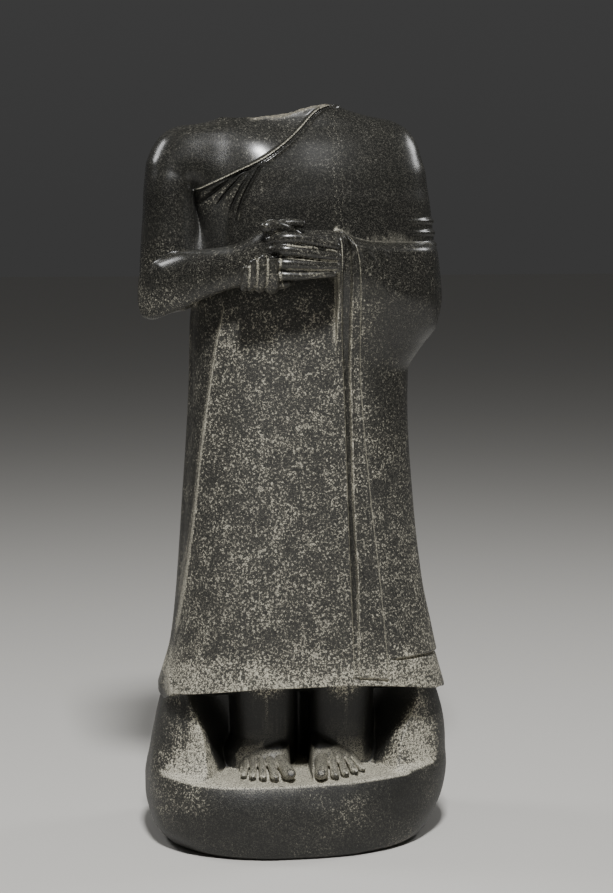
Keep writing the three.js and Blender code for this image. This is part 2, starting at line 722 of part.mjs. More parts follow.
export default statueGroup;
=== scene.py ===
"""Looks of a headless standing ruler, carved with its rounded base from one dark speckled stone.

The statue is measured as a sculptor would block it out: the robe and the base are shells with named
widths at each height, the cloth is a relief on them, and the arm, the hands and the feet are joined
on with soft or crisp seams. All of it is one lattice of depths, from which one mesh is taken.
Sizes are in millimetres until the mesh is made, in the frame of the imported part.
"""

import sys

import logging
from concurrent.futures import ThreadPoolExecutor
from dataclasses import dataclass, field
from enum import Enum
from typing import Callable

import bpy
import numpy as np
import openvdb
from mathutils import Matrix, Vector


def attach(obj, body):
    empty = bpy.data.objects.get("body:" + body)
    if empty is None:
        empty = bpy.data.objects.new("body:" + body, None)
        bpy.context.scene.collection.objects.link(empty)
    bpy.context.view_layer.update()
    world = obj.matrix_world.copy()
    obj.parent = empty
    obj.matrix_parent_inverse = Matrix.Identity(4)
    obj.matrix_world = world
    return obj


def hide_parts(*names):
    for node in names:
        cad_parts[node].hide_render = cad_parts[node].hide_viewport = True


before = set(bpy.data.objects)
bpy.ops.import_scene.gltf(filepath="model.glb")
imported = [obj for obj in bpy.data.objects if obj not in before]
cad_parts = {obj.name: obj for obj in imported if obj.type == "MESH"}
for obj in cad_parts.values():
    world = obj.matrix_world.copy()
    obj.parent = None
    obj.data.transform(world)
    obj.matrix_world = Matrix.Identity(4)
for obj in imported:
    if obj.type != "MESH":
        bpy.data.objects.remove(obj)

log = logging.getLogger("statue")
Array = np.ndarray
Rows = tuple[tuple[float, ...], ...]
Tree = bpy.types.NodeTree
Socket = bpy.types.NodeSocket
MM = 0.001


# Small curves that shapes and reliefs are drawn with

def soft_step(value: Array, low: float, high: float) -> Array:
    """Rises smoothly from 0 at low to 1 at high.

    Args:
        value: Numbers to judge.
        low: Where the rise starts.
        high: Where it ends; below low for a fall.

    Returns:
        Shares between 0 and 1.
    """
    share = np.clip((value - low) / (high - low), 0.0, 1.0)
    return share * share * (3.0 - 2.0 * share)


def bump(value: Array, half: float) -> Array:
    """Rounded ridge of height 1 at value 0 that is gone at about twice its half width."""
    return np.exp(-((value / half) ** 2))


def soft_union(first: Array, second: Array, soften: Array | float) -> Array:
    """Joins two depths with a fillet.

    Args:
        first: Depth of one shape, negative inside.
        second: Depth of the other.
        soften: Reach of the fillet, in millimetres.

    Returns:
        Depth of both together.
    """
    near = np.maximum(soften - np.abs(first - second), 0.0) / soften
    return np.minimum(first, second) - near * near * soften * 0.25


def soft_cut(first: Array, second: Array, soften: Array | float) -> Array:
    """Keeps what lies in both shapes, with the edge between them rounded over soften."""
    return -soft_union(-first, -second, soften)


def plateau(value: Array, start: float, full: float, end: float, gone: float) -> Array:
    """Share that rises smoothly from start to full and falls again from end to gone."""
    return soft_step(value, start, full) * soft_step(value, gone, end)


def blend(table: Array, whole: Array, part: Array) -> Array:
    """Values between the points of a lattice.

    Args:
        table: Values on the lattice, which repeats past its ends.
        whole: Lowest lattice point beside each place, one row each.
        part: Share of the way to the next point along each axis.

    Returns:
        One value for each place.
    """
    total = np.zeros(len(whole), part.dtype)
    for corner in range(8):
        offset = np.array([corner & 1, corner >> 1 & 1, corner >> 2 & 1])
        weight = np.prod(np.where(offset, part, 1 - part), axis=1)
        total += weight * table[tuple(((whole + offset) % table.shape).T)]
    return total


@dataclass(frozen=True)
class Lumps:
    """Smooth uneven surface from random heights on a lattice, with its spacing in millimetres."""

    size: float
    seed: int
    height: float = 1.0
    cells: int = 32

    def at(self, points: Array) -> Array:
        """Heights of the surface at some places, one row each."""
        shape = (self.cells,) * 3
        heights = np.random.default_rng(self.seed).uniform(-1, 1, shape).astype(np.float32)
        scaled = points / self.size
        whole = np.floor(scaled).astype(np.int32)
        part = (scaled - whole).astype(np.float32)
        return self.height * blend(heights, whole, part * part * (3 - 2 * part))


@dataclass(frozen=True)
class Profile:
    """Measures that change along one direction, on a smooth curve that never overshoots its stations."""

    rows: Rows

    def at(self, places: Array) -> Array:
        """Measures at some places.

        Args:
            places: Places along the direction.

        Returns:
            One array of measures for each column after the first.
        """
        table = np.array(self.rows, float)
        stations, values = table[:, 0], table[:, 1:]
        gaps = np.diff(stations)
        slopes = np.diff(values, axis=0) / gaps[:, None]
        tangents = np.zeros_like(values)
        tangents[0], tangents[-1] = slopes[0], slopes[-1]
        product = slopes[:-1] * slopes[1:]
        total = slopes[:-1] + slopes[1:]
        tangents[1:-1] = np.where(product > 0, 2 * product / np.where(total == 0, 1, total), 0)
        place = np.clip(np.asarray(places, float), stations[0], stations[-1])
        i = np.clip(np.searchsorted(stations, place, side="right") - 1, 0, len(gaps) - 1)
        span = gaps[i]
        t = ((place - stations[i]) / span)[..., None]
        step = values[i + 1] - values[i]
        bend = ((1 - t) * tangents[i] - t * tangents[i + 1]) * span[..., None] + (2 * t - 1) * step
        return np.moveaxis(values[i] + t * step + t * (1 - t) * bend, -1, 0)


@dataclass(frozen=True)
class Edge:
    """Line drawn on the cloth from its upper end, given as points [x, z]."""

    points: tuple[tuple[float, float], ...]
    level: bool = False

    def beside(self, x: Array, z: Array) -> tuple[Array, Array]:
        """How far places lie to the +X side of the line (or above it, if it is level).

        Args:
            x: Places across the statue.
            z: Their heights.

        Returns:
            Signed distance from the line, and the share of the way along it, past 0 or 1 beyond its ends.
        """
        rows = sorted((p[0], p[1]) if self.level else (p[1], p[0]) for p in self.points)
        along, across = (x, z) if self.level else (z, x)
        line = Profile(tuple(rows))
        here = line.at(along)[0]
        slope = (line.at(along + 2.0)[0] - line.at(along - 2.0)[0]) / 4.0
        share = (along - rows[0][0]) / (rows[-1][0] - rows[0][0])
        return (across - here) / np.sqrt(1 + slope**2), share if self.level else 1 - share


# The lattice of depths that the stone is cut in

@dataclass
class Site:
    """Points at which the stone is measured, in millimetres, with the lattice column and level of each."""

    x: Array
    y: Array
    z: Array
    column: Array
    level: Array


@dataclass
class Block:
    """The stone as a regular lattice of depths: negative inside, positive in the open air."""

    low: tuple[float, float, float]
    high: tuple[float, float, float]
    pitch: float
    reach: float = 30.0
    first: Array = field(init=False)
    values: Array = field(init=False)

    def __post_init__(self) -> None:
        """Lays out the lattice on whole multiples of its pitch."""
        self.first = np.floor(np.array(self.low) / self.pitch).astype(int)
        last = np.ceil(np.array(self.high) / self.pitch).astype(int)
        cells = (last - self.first + 4) // 4
        self.values = np.full(cells * 4, self.reach, np.float32)

    def places(self, axis: int) -> Array:
        """Coordinates of the lattice points along an axis."""
        return ((self.first[axis] + np.arange(self.values.shape[axis])) * self.pitch).astype(np.float32)

    def site(self, column: Array, row: Array, level: Array) -> Site:
        """Points of the lattice by their three numbers."""
        x, y, z = (self.places(axis)[index] for axis, index in enumerate((column, row, level)))
        return Site(x, y, z, column, level)

    def carve(self, depth: Callable[[Site], Array], margin: float) -> None:
        """Measures the stone near its surface and fills in the rest from a coarse look.

        Args:
            depth: Gives the depth at the points of a site.
            margin: How far from the surface a coarse cell may lie to be measured in full, in millimetres.
        """
        cells = np.array(self.values.shape) // 4
        index = np.indices(cells).reshape(3, -1)
        coarse = self._measure(depth, index * 4 + 2)
        spread = self.values.reshape(cells[0], 4, cells[1], 4, cells[2], 4)
        rough = np.clip(coarse, -self.reach, self.reach)
        spread[...] = rough.reshape(cells[0], 1, cells[1], 1, cells[2], 1)
        near = index[:, np.abs(coarse) < margin]
        inner = np.indices((4, 4, 4)).reshape(3, 1, -1)
        points = (near[:, :, None] * 4 + inner).reshape(3, -1)
        fine = self._measure(depth, points).reshape(-1, 4, 4, 4)
        spread[near[0], :, near[1], :, near[2], :] = np.clip(fine, -self.reach, self.reach)

    def _measure(self, depth: Callable[[Site], Array], index: Array) -> Array:
        """Depth at many lattice points, in batches side by side."""
        batches = np.array_split(index, max(1, index.shape[1] // 400_000), axis=1)
        with ThreadPoolExecutor(4) as pool:
            parts = pool.map(lambda batch: depth(self.site(*batch)).astype(np.float32), batches)
        return np.concatenate(list(parts))

    def join(self, shape: "Shell", soften: float,
             share: Callable[[Array, Array], Array] | None = None) -> None:
        """Adds a closed mesh to the stone.

        Args:
            shape: The mesh.
            soften: Widest reach of the fillet along the seam, in millimetres.
            share: Gives the share of that reach to use, from places across and heights.
        """
        band = max(3.0, soften / self.pitch + 2.0)
        transform = openvdb.createLinearTransform(voxelSize=self.pitch)
        grid = openvdb.FloatGrid.createLevelSetFromPolygons(
            shape.points.astype(np.float32), triangles=shape.triangles.astype(np.uint32),
            transform=transform, halfWidth=band)
        margin = int(band) + 2
        start = np.floor(shape.points.min(0) / self.pitch).astype(int) - margin - self.first
        stop = np.ceil(shape.points.max(0) / self.pitch).astype(int) + margin - self.first
        start = np.clip(start, 0, self.values.shape)
        stop = np.clip(stop, 0, self.values.shape)
        local = np.zeros(stop - start, np.float32)
        grid.copyToArray(local, ijk=tuple(int(v) for v in start + self.first))
        window = tuple(slice(a, b) for a, b in zip(start, stop))
        reach = soften
        if share:
            across, heights = self.places(0)[window[0]], self.places(2)[window[2]]
            reach = (soften * share(across[:, None], heights[None, :])).astype(np.float32)[:, None, :]
        self.values[window] = soft_union(self.values[window], local, reach)

    def depth_at(self, points: Array) -> Array:
        """Depth between lattice points.

        Args:
            points: Places in millimetres, one row each.

        Returns:
            Their depths, within the reach of the lattice.
        """
        scaled = points / self.pitch - self.first
        whole = np.clip(np.floor(scaled).astype(int), 0, np.array(self.values.shape) - 2)
        return blend(self.values, whole, np.clip(scaled - whole, 0, 1))

    def skin(self) -> tuple[Array, Array]:
        """Surface of the stone: its points in millimetres and its four-sided faces."""
        band = 4 * self.pitch
        grid = openvdb.FloatGrid(background=band)
        grid.transform = openvdb.createLinearTransform(voxelSize=self.pitch)
        grid.copyFromArray(np.clip(self.values, -band, band), ijk=tuple(int(v) for v in self.first))
        points, _, quads = grid.convertToPolygons(isovalue=0.0, adaptivity=0.0)
        return points, quads


@dataclass
class Shell:
    """Closed mesh in millimetres, made of triangles."""

    points: Array
    triangles: Array


def grid_of(x: Array, y: Array, z: Array) -> Array:
    """Points from their coordinates, which are spread out over one another's rows and columns."""
    return np.stack(np.broadcast_arrays(x, y, z), -1)


def loft(rings: Array) -> Shell:
    """Closed mesh through rings of equally many points.

    Args:
        rings: Points, by ring and by place round the ring.

    Returns:
        The mesh, with both ends capped.
    """
    count, sides = rings.shape[:2]
    points = np.concatenate([rings.reshape(-1, 3), rings[0].mean(0)[None], rings[-1].mean(0)[None]])
    r, i = np.meshgrid(np.arange(count - 1), np.arange(sides), indexing="ij")
    a = (r * sides + i).ravel()
    b = (r * sides + (i + 1) % sides).ravel()
    walls = np.concatenate([np.stack([a, b, b + sides], 1), np.stack([a, b + sides, a + sides], 1)])
    i = np.arange(sides)
    j = (i + 1) % sides
    end = (count - 1) * sides
    low = np.stack([np.full(sides, count * sides), j, i], 1)
    top = np.stack([np.full(sides, count * sides + 1), end + i, end + j], 1)
    return Shell(points, np.concatenate([walls, low, top]))


def lens(centre: Array, across: Array, along: Array, out: Array) -> Shell:
    """Closed lens, for a nail.

    Args:
        centre: Its middle.
        across: Half axis across the nail.
        along: Half axis along it.
        out: Half axis through its thickness.

    Returns:
        The mesh.
    """
    turn = np.linspace(0, 2 * np.pi, 18, endpoint=False)[None, :]
    rise = np.linspace(-0.49 * np.pi, 0.49 * np.pi, 9)[:, None]
    shares = (np.cos(rise) * np.cos(turn), np.cos(rise) * np.sin(turn), np.sin(rise) + 0 * turn)
    axes = (np.asarray(axis, float) for axis in (across, along, out))
    rings = sum(share[..., None] * axis for share, axis in zip(shares, axes))
    return loft(rings + np.asarray(centre, float))


def merged(shells: list[Shell]) -> Shell:
    """Several closed meshes as one."""
    starts = np.cumsum([0] + [len(shell.points) for shell in shells])
    points = np.concatenate([shell.points for shell in shells])
    return Shell(points, np.concatenate([shell.triangles + start for shell, start in zip(shells, starts)]))


# Nodes

def add_node(tree: Tree, kind: str, values: dict | None = None, links: dict | None = None,
             **settings: object) -> bpy.types.Node:
    """Adds a node with its settings, socket values and incoming links.

    Args:
        tree: Tree that the node goes into.
        kind: The node's type.
        values: Values of input sockets, by name or number.
        links: Output sockets that feed input sockets, by name or number.
        settings: Properties of the node.

    Returns:
        The new node.
    """
    node = tree.nodes.new(kind)
    for name, value in settings.items():
        setattr(node, name, value)
    for key, value in (values or {}).items():
        node.inputs[key].default_value = value
    for key, socket in (links or {}).items():
        tree.links.new(socket, node.inputs[key])
    return node


def math_node(tree: Tree, operation: str, *parts: Socket | float, **settings: object) -> Socket:
    """Adds a Math node whose inputs are sockets or plain numbers, and gives its result."""
    values = {i: part for i, part in enumerate(parts) if not isinstance(part, Socket)}
    links = {i: part for i, part in enumerate(parts) if isinstance(part, Socket)}
    return add_node(tree, "ShaderNodeMath", values, links, operation=operation, **settings).outputs[0]


def linear(hex_colour: str) -> tuple[float, float, float, float]:
    """Turns an sRGB hex colour into the linear colour that shaders take."""
    channels = [int(hex_colour[i:i + 2], 16) / 255 for i in (1, 3, 5)]
    lit = [c / 12.92 if c <= 0.04045 else ((c + 0.055) / 1.055) ** 2.4 for c in channels]
    return (*lit, 1.0)


def new_object(name: str, data: bpy.types.ID) -> bpy.types.Object:
    """Puts data into the scene as an object."""
    made = bpy.data.objects.new(name, data)
    bpy.context.scene.collection.objects.link(made)
    return made


def applied(piece: bpy.types.Object, modifier: bpy.types.Modifier) -> bpy.types.Mesh:
    """What a modifier makes of a piece, as a plain mesh; the modifier is removed again."""
    graph = bpy.context.evaluated_depsgraph_get()
    mesh = bpy.data.meshes.new_from_object(piece.evaluated_get(graph), depsgraph=graph)
    piece.modifiers.remove(modifier)
    return mesh


def points_of(mesh: bpy.types.Mesh) -> Array:
    """Points of a mesh in millimetres, one row each."""
    points = np.empty(len(mesh.vertices) * 3, np.float32)
    mesh.vertices.foreach_get("co", points)
    return points.reshape(-1, 3) / MM


def new_tree(name: str, sockets: dict[str, tuple[str, float | None]]) -> Tree:
    """Starts a Geometry Nodes tree.

    Args:
        name: Name of the tree.
        sockets: Type and default of each input after the geometry, by name.

    Returns:
        The tree, with its interface made.
    """
    tree = bpy.data.node_groups.new(name, "GeometryNodeTree")
    tree.interface.new_socket("Geometry", in_out="INPUT", socket_type="NodeSocketGeometry")
    for key, (kind, default) in sockets.items():
        socket = tree.interface.new_socket(key, in_out="INPUT", socket_type=kind)
        if default is not None:
            socket.default_value = default
    tree.interface.new_socket("Geometry", in_out="OUTPUT", socket_type="NodeSocketGeometry")
    return tree


def run_tree(piece: bpy.types.Object, tree: Tree, inputs: dict[str, object]) -> bpy.types.Mesh:
    """Runs a Geometry Nodes tree on a piece.

    Args:
        piece: Object that carries the geometry.
        tree: The tree.
        inputs: Values of its named inputs.

    Returns:
        The result.
    """
    modifier = piece.modifiers.new(tree.name, "NODES")
    modifier.node_group = tree
    names = {item.name: item.identifier for item in tree.interface.items_tree if item.in_out == "INPUT"}
    for key, value in inputs.items():
        modifier[names[key]] = value
    return applied(piece, modifier)


@dataclass
class Rods:
    """Fingers, toes and rolled edges: rods with round ends that follow curves of their own thickness."""

    sides: int = 20
    spacing: float = 1.5
    paths: list[tuple[Array, Array]] = field(default_factory=list)

    def add(self, points: Array | list, radii: Array | list | float) -> None:
        """Adds a rod.

        Args:
            points: Points along its middle, in millimetres.
            radii: Its radius at each of them, or everywhere.
        """
        points = np.asarray(points, float)
        self.paths.append((points, np.broadcast_to(np.asarray(radii, float), len(points))))

    def tree(self) -> Tree:
        """Tree that grows a rod along each chain of edges, as thick as its points say."""
        tree = new_tree("RodAlongCurve", {
            "Sides": ("NodeSocketInt", 20),
            "Spacing": ("NodeSocketFloat", 0.001),
            "Stone": ("NodeSocketMaterial", None),
        })
        start = add_node(tree, "NodeGroupInput")
        curve = add_node(tree, "GeometryNodeMeshToCurve", links={"Mesh": start.outputs["Geometry"]})
        smooth = add_node(tree, "GeometryNodeCurveSplineType", links={"Curve": curve.outputs["Curve"]},
                          spline_type="CATMULL_ROM")
        even = add_node(tree, "GeometryNodeResampleCurve", mode="LENGTH", links={
            "Curve": smooth.outputs["Curve"], "Length": start.outputs["Spacing"]})
        thick = add_node(tree, "GeometryNodeInputNamedAttribute", {"Name": "thickness"}, data_type="FLOAT")
        along = add_node(tree, "GeometryNodeSplineParameter")
        whole = add_node(tree, "GeometryNodeSplineLength")
        length, thickness = along.outputs["Length"], thick.outputs["Attribute"]
        rest = math_node(tree, "SUBTRACT", whole.outputs["Length"], length)
        end = math_node(tree, "MINIMUM", length, rest)
        share = math_node(tree, "DIVIDE", end, thickness, use_clamp=True)
        square = math_node(tree, "MULTIPLY", share, math_node(tree, "SUBTRACT", 2.0, share))
        blunt = math_node(tree, "MAXIMUM", math_node(tree, "SQRT", square), 0.06)
        radius = math_node(tree, "MULTIPLY", blunt, thickness)
        section = add_node(tree, "GeometryNodeCurvePrimitiveCircle", {"Radius": 1.0}, links={
            "Resolution": start.outputs["Sides"]})
        rod = add_node(tree, "GeometryNodeCurveToMesh", {"Fill Caps": True}, links={
            "Curve": even.outputs["Curve"], "Profile Curve": section.outputs["Curve"], "Scale": radius})
        real = add_node(tree, "GeometryNodeRealizeInstances", links={"Geometry": rod.outputs["Mesh"]})
        stone = add_node(tree, "GeometryNodeSetMaterial", links={
            "Geometry": real.outputs["Geometry"], "Material": start.outputs["Stone"]})
        add_node(tree, "NodeGroupOutput", links={"Geometry": stone.outputs["Geometry"]})
        return tree

    def build(self, stone: bpy.types.Material) -> Shell:
        """Grows all the rods.

        Args:
            stone: Material that the tree sets.

        Returns:
            One closed mesh for each rod, together.
        """
        points = np.concatenate([path for path, _ in self.paths]) * MM
        starts = np.cumsum([0] + [len(path) for path, _ in self.paths])
        edges = [(i, i + 1) for a, b in zip(starts[:-1], starts[1:]) for i in range(a, b - 1)]
        mesh = bpy.data.meshes.new("rod_paths")
        mesh.from_pydata(points.tolist(), edges, [])
        thickness = mesh.attributes.new("thickness", "FLOAT", "POINT")
        thickness.data.foreach_set("value", np.concatenate([radii for _, radii in self.paths]) * MM)
        carrier = new_object("rod_paths", mesh)
        inputs = {"Sides": self.sides, "Spacing": self.spacing * MM, "Stone": stone}
        result = run_tree(carrier, self.tree(), inputs)
        bpy.data.objects.remove(carrier)
        return shell_of(result)


def shell_of(mesh: bpy.types.Mesh) -> Shell:
    """Triangles of a Blender mesh, in millimetres; the mesh is removed."""
    mesh.calc_loop_triangles()
    points = points_of(mesh)
    triangles = np.empty(len(mesh.loop_triangles) * 3, np.int32)
    mesh.loop_triangles.foreach_get("vertices", triangles)
    bpy.data.meshes.remove(mesh)
    return Shell(points, triangles.reshape(-1, 3))


# The sub-assemblies of the carving

class Line(Enum):
    """Edges of the cloth and gaps between the fingers that the stone shows as thin pale lines, named as
    their distances in the mesh: partly worn edges, partly painted highlight where the edges catch the
    light.
    """

    WRAP = "wrap"
    LAP = "lap"
    RIM = "rim"
    ROLL = "roll"
    GAPS = "gaps"


@dataclass
class Figure:
    """Torso and robe: half widths to the bare and the draped side, depths to front and back, squareness."""

    stations: Profile = Profile((
        (255, 226, 252, 150, 166, 3.0), (330, 205, 232, 143, 158, 2.9), (400, 197, 219, 138, 148, 2.8),
        (560, 186, 200, 127, 128, 2.6), (730, 175, 190, 118, 112, 2.5), (780, 173, 191, 115, 109, 2.5),
        (825, 172, 217, 113, 108, 2.5), (860, 171, 240, 112, 108, 2.5), (900, 167, 246, 110, 110, 2.5),
        (950, 162, 242, 108, 114, 2.5), (1010, 160, 233, 106, 118, 2.5), (1056, 168, 228, 103, 120, 2.45),
        (1082, 182, 224, 98, 119, 2.4), (1106, 200, 221, 92, 115, 2.4), (1130, 212, 214, 83, 110, 2.4),
        (1152, 214, 207, 72, 100, 2.4), (1168, 206, 198, 61, 88, 2.4), (1178, 189, 189, 53, 78, 2.4),
        (1185, 158, 179, 48, 68, 2.4), (1192, 135, 163, 43.5, 59, 2.3), (1200, 120, 122, 39, 50, 2.2),
        (1211, 110, 84, 36, 46, 2.1), (1226, 104, 60, 34, 44, 2.0),
    ))


def shell_depth(site: Site, levels: Array, rises: Array) -> Array:
    """Depth below a rounded, roughly upright shell.

    Args:
        site: Points to measure.
        levels: Bare width, draped width, front, back, squareness and, where it differs, squareness
            of the draped side, at each lattice level.
        rises: How fast each of these changes with height.

    Returns:
        Depths in millimetres, near the surface.
    """
    bare, draped, front, back = (row[site.level] for row in levels[:4])
    left = site.x < 0
    square = np.where(left, levels[4][site.level], levels[-1][site.level])
    fore = site.y < 0
    width = np.where(left, bare, draped)
    depth = np.where(fore, front, back)
    width_rise = np.where(left, rises[0][site.level], rises[1][site.level])
    depth_rise = np.where(fore, rises[2][site.level], rises[3][site.level])
    across = np.maximum(np.abs(site.x) / width, 1e-3)
    along = np.maximum(np.abs(site.y) / depth, 1e-3)
    across_power = across**square
    along_power = along**square
    total = across_power + along_power
    size = total ** (1 / square)
    scale = size / total
    slope_x = scale * across_power / (across * width)
    slope_y = scale * along_power / (along * depth)
    slope_z = -scale * (across_power * width_rise / width + along_power * depth_rise / depth)
    return (size - 1) / np.sqrt(slope_x**2 + slope_y**2 + slope_z**2)


@dataclass
class Levels:
    """A profile looked up at every level of the lattice, with its change by height."""

    values: Array
    rises: Array

    @classmethod
    def of(cls, profile: Profile, heights: Array) -> "Levels":
        """Looks a profile up at some heights."""
        rises = (profile.at(heights + 1.0) - profile.at(heights - 1.0)) / 2.0
        return cls(profile.at(heights).astype(np.float32), rises.astype(np.float32))


@dataclass
class Cloth:
    """Mantle over the robe: its rolled edge, folds and hanging border, as a relief on the figure."""

    neck_edge: Edge = Edge((
        (62, 1219), (35, 1209), (23, 1200), (3, 1180), (-16, 1163), (-38, 1146), (-69, 1126), (-118, 1102),
        (-172, 1076),
    ))
    neck_edge_back: Edge = Edge(((40, 1200), (-25, 1160), (-100, 1118), (-172, 1082)))
    fan: tuple[Edge, ...] = (
        Edge(((-66, 1121), (-87, 1085), (-101, 1053), (-108, 1020))),
        Edge(((-73, 1120), (-94, 1090), (-112, 1055), (-120, 1032))),
        Edge(((-79, 1118), (-106, 1091), (-129, 1063), (-139, 1046))),
        Edge(((-88, 1114), (-119, 1092), (-147, 1069), (-160, 1057))),
    )
    border_front: Edge = Edge(((50, 1006), (54, 905), (61, 780), (66, 600), (70, 440), (74, 284)))
    border_middle: Edge = Edge((
        (53, 1013), (62, 1000), (66, 984), (68, 950), (70, 900), (73, 740), (76, 580), (82, 440),
    ))
    border_rear: Edge = Edge((
        (61, 1011), (70, 998), (77, 982), (81, 960), (85, 890), (92, 740), (106, 578), (123, 415),
        (133, 282),
    ))
    border_hem: Edge = Edge(((74, 291), (99, 289), (133, 284)), level=True)
    wrap_edge: Edge = Edge((
        (-128, 895), (-142, 822), (-151, 758), (-164, 660), (-173, 578), (-188, 460), (-201, 372),
        (-219, 290),
    ))
    wrist_folds: tuple[Edge, ...] = (
        Edge(((66, 1000), (88, 975), (100, 940))),
        Edge(((76, 1000), (104, 978), (122, 950))),
        Edge(((90, 998), (122, 982), (146, 962))),
    )
    finger_gaps: tuple[Edge, ...] = (
        Edge(((-102.5, 963), (-102.5, 925))),
        Edge(((-90, 974), (-90, 925))),
        Edge(((-74, 980), (-74, 925))),
        Edge(((-52, 976), (-54, 950), (-46, 925))),
        Edge(((-46, 992), (10, 985.5), (44, 980)), level=True),
        Edge(((-46, 972.5), (10, 967), (44, 965)), level=True),
        Edge(((-46, 953.5), (10, 952), (44, 952)), level=True),
    )
    slit: Edge = Edge(((130, 318), (153, 317), (171, 317), (191, 317), (213, 315), (240, 311)), level=True)
    sleeve: Profile = Profile(((50, 38), (85, 36), (130, 32), (180, 25), (215, 16), (238, 3)))
    sleeve_top: Profile = Profile((
        (38, 1011), (48, 1014), (57, 1014), (66, 1009), (82, 1001), (105, 996), (140, 994), (200, 993),
        (238, 986),
    ))
    armpit: float = 1076
    armpit_back: float = 1082
    mantle: float = 3.0
    roll: float = 3.0
    border: float = 3.0
    layer: float = 3.4
    fan_depth: float = 5.5
    recess_depth: float = 5.0
    lip_depth: float = 3.6
    fold: float = 1.7
    far: float = 40.0

    def sleeve_rise(self, x: Array, z: Array) -> Array:
        """How far the cloth over the hidden forearm stands out in front of the torso."""
        fall = self.sleeve_top.at(x)[0] - z
        edge = np.clip(fall / 17.0, 0.0, 1.0)
        rounded = np.sqrt(np.clip(1 - (1 - edge) ** 2, 0, 1))
        reach = 220 - 45 * soft_step(x, 90.0, 165.0)
        start = 40 + 35 * soft_step(x, 90.0, 165.0)
        hang = 1 - soft_step(fall, start, reach)
        inside = (x > self.sleeve.rows[0][0] - 1) & (fall > 0)
        return np.where(inside, self.sleeve.at(x)[0] * rounded * hang, 0.0)

    def front(self, x: Array, z: Array) -> Array:
        """Relief of the front.

        Args:
            x: Places across, as a column.
            z: Heights, as a row.

        Returns:
            Rise of the surface in millimetres at each pair.
        """
        x, z = np.broadcast_arrays(x, z)
        side, share = self.neck_edge.beside(x, z)
        above = soft_step(share, 1.02, 0.98)
        over = np.where(z > self.armpit, soft_step(side, -1.5, 1.5), 1.0)
        roll = self.roll * bump(side - 1.0, 2.4) + 1.9 * bump(side - 7.4, 2.2) - 1.5 * bump(side - 4.4, 1.6)
        rise = self.mantle * (over - 1) + above * roll
        for part in (self._fan, self._chest, self._wrap, self.sleeve_rise, self._border):
            rise += part(x, z)
        for fold in self.wrist_folds:
            side, share = fold.beside(x, z)
            rise += self.fold * bump(side, 3.0) * plateau(share, -0.1, 0.15, 0.4, 1.1)
        return rise

    def _chest(self, x: Array, z: Array) -> Array:
        """Swell of the chest, and the shallow hollow between it and the bare shoulder."""
        return 6.5 * bump(x + 62, 46) * bump(z - 1138, 44) - 3.6 * bump(x + 122, 26) * bump(z - 1136, 44)

    def _fan(self, x: Array, z: Array) -> Array:
        """Folds that run down from the rolled edge towards the armpit."""
        rise = np.zeros(x.shape)
        for number, groove in enumerate(self.fan):
            side, share = groove.beside(x, z)
            ridge = 2.0 if number == 0 else 0.8
            strength = plateau(share, -0.02, 0.16, 0.7, 1.15)
            rise += strength * (ridge * bump(side + 6.0, 3.4) - self.fan_depth * bump(side - 0.5, 3.0))
        return rise

    def fan_crust_and_shade(self, x: Array, z: Array) -> Array:
        """How much crust the folds of the fan gained beside the first groove, with less crust in the
        grooves as painted shade.
        """
        first, share = self.fan[0].beside(x, z)
        below, _ = self.neck_edge.beside(x, z)
        inside = soft_step(first, 3.0, -3.0) * soft_step(below, 8.0, 13.0) * soft_step(share, 1.0, 0.5)
        wear = 0.2 * inside * (z < 1124)
        for groove in self.fan:
            side, share = groove.beside(x, z)
            # The grooves lose crust, which paints shade in them.
            wear = wear - 0.5 * bump(side, 3.2) * (share > 0) * soft_step(share, 1.1, 0.6)
        return wear

    def _wrap(self, x: Array, z: Array) -> Array:
        """Long edge of the mantle down the bare side."""
        side, share = self.wrap_edge.beside(x, z)
        present = soft_step(share, -0.05, 0.06)
        return present * (self.layer * (soft_step(side, -1.3, 1.0) - 1) + 1.6 * bump(side - 2.2, 2.4))

    def _border(self, x: Array, z: Array) -> Array:
        """Hanging border below the wrist: two vertical folds that end above the hem."""
        front, _ = self.border_front.beside(x, z)
        rear, _ = self.border_rear.beside(x, z)
        middle, share = self.border_middle.beside(x, z)
        hem, _ = self.border_hem.beside(x, z)
        down = np.where((x > 60) & (x < 150), soft_step(hem, -1.2, 1.2), 1.0)
        present = soft_step(self.sleeve_top.at(x)[0] - z, -1.0, 7.0) * down
        body = soft_step(middle, -1.4, 1.4) * soft_step(rear, 1.8, -1.8)
        raised = 2.0 * bump(front + 1.8, 2.2) + 1.4 * bump(middle - 2.6, 2.2) + 1.3 * bump(rear + 3.0, 2.6)
        recess = soft_step(front, 0.0, 3.0) * soft_step(middle, 1.2, -1.2) * soft_step(share, 1.3, 0.9)
        sunk = self.recess_depth * recess + 1.2 * bump(rear - 2.5, 2.2)
        lip = plateau(x, 72, 78, 129, 135) * (z < 300) * bump(hem + 1.8, 1.9)
        return present * (self.border * body + raised - sunk) - self.lip_depth * lip

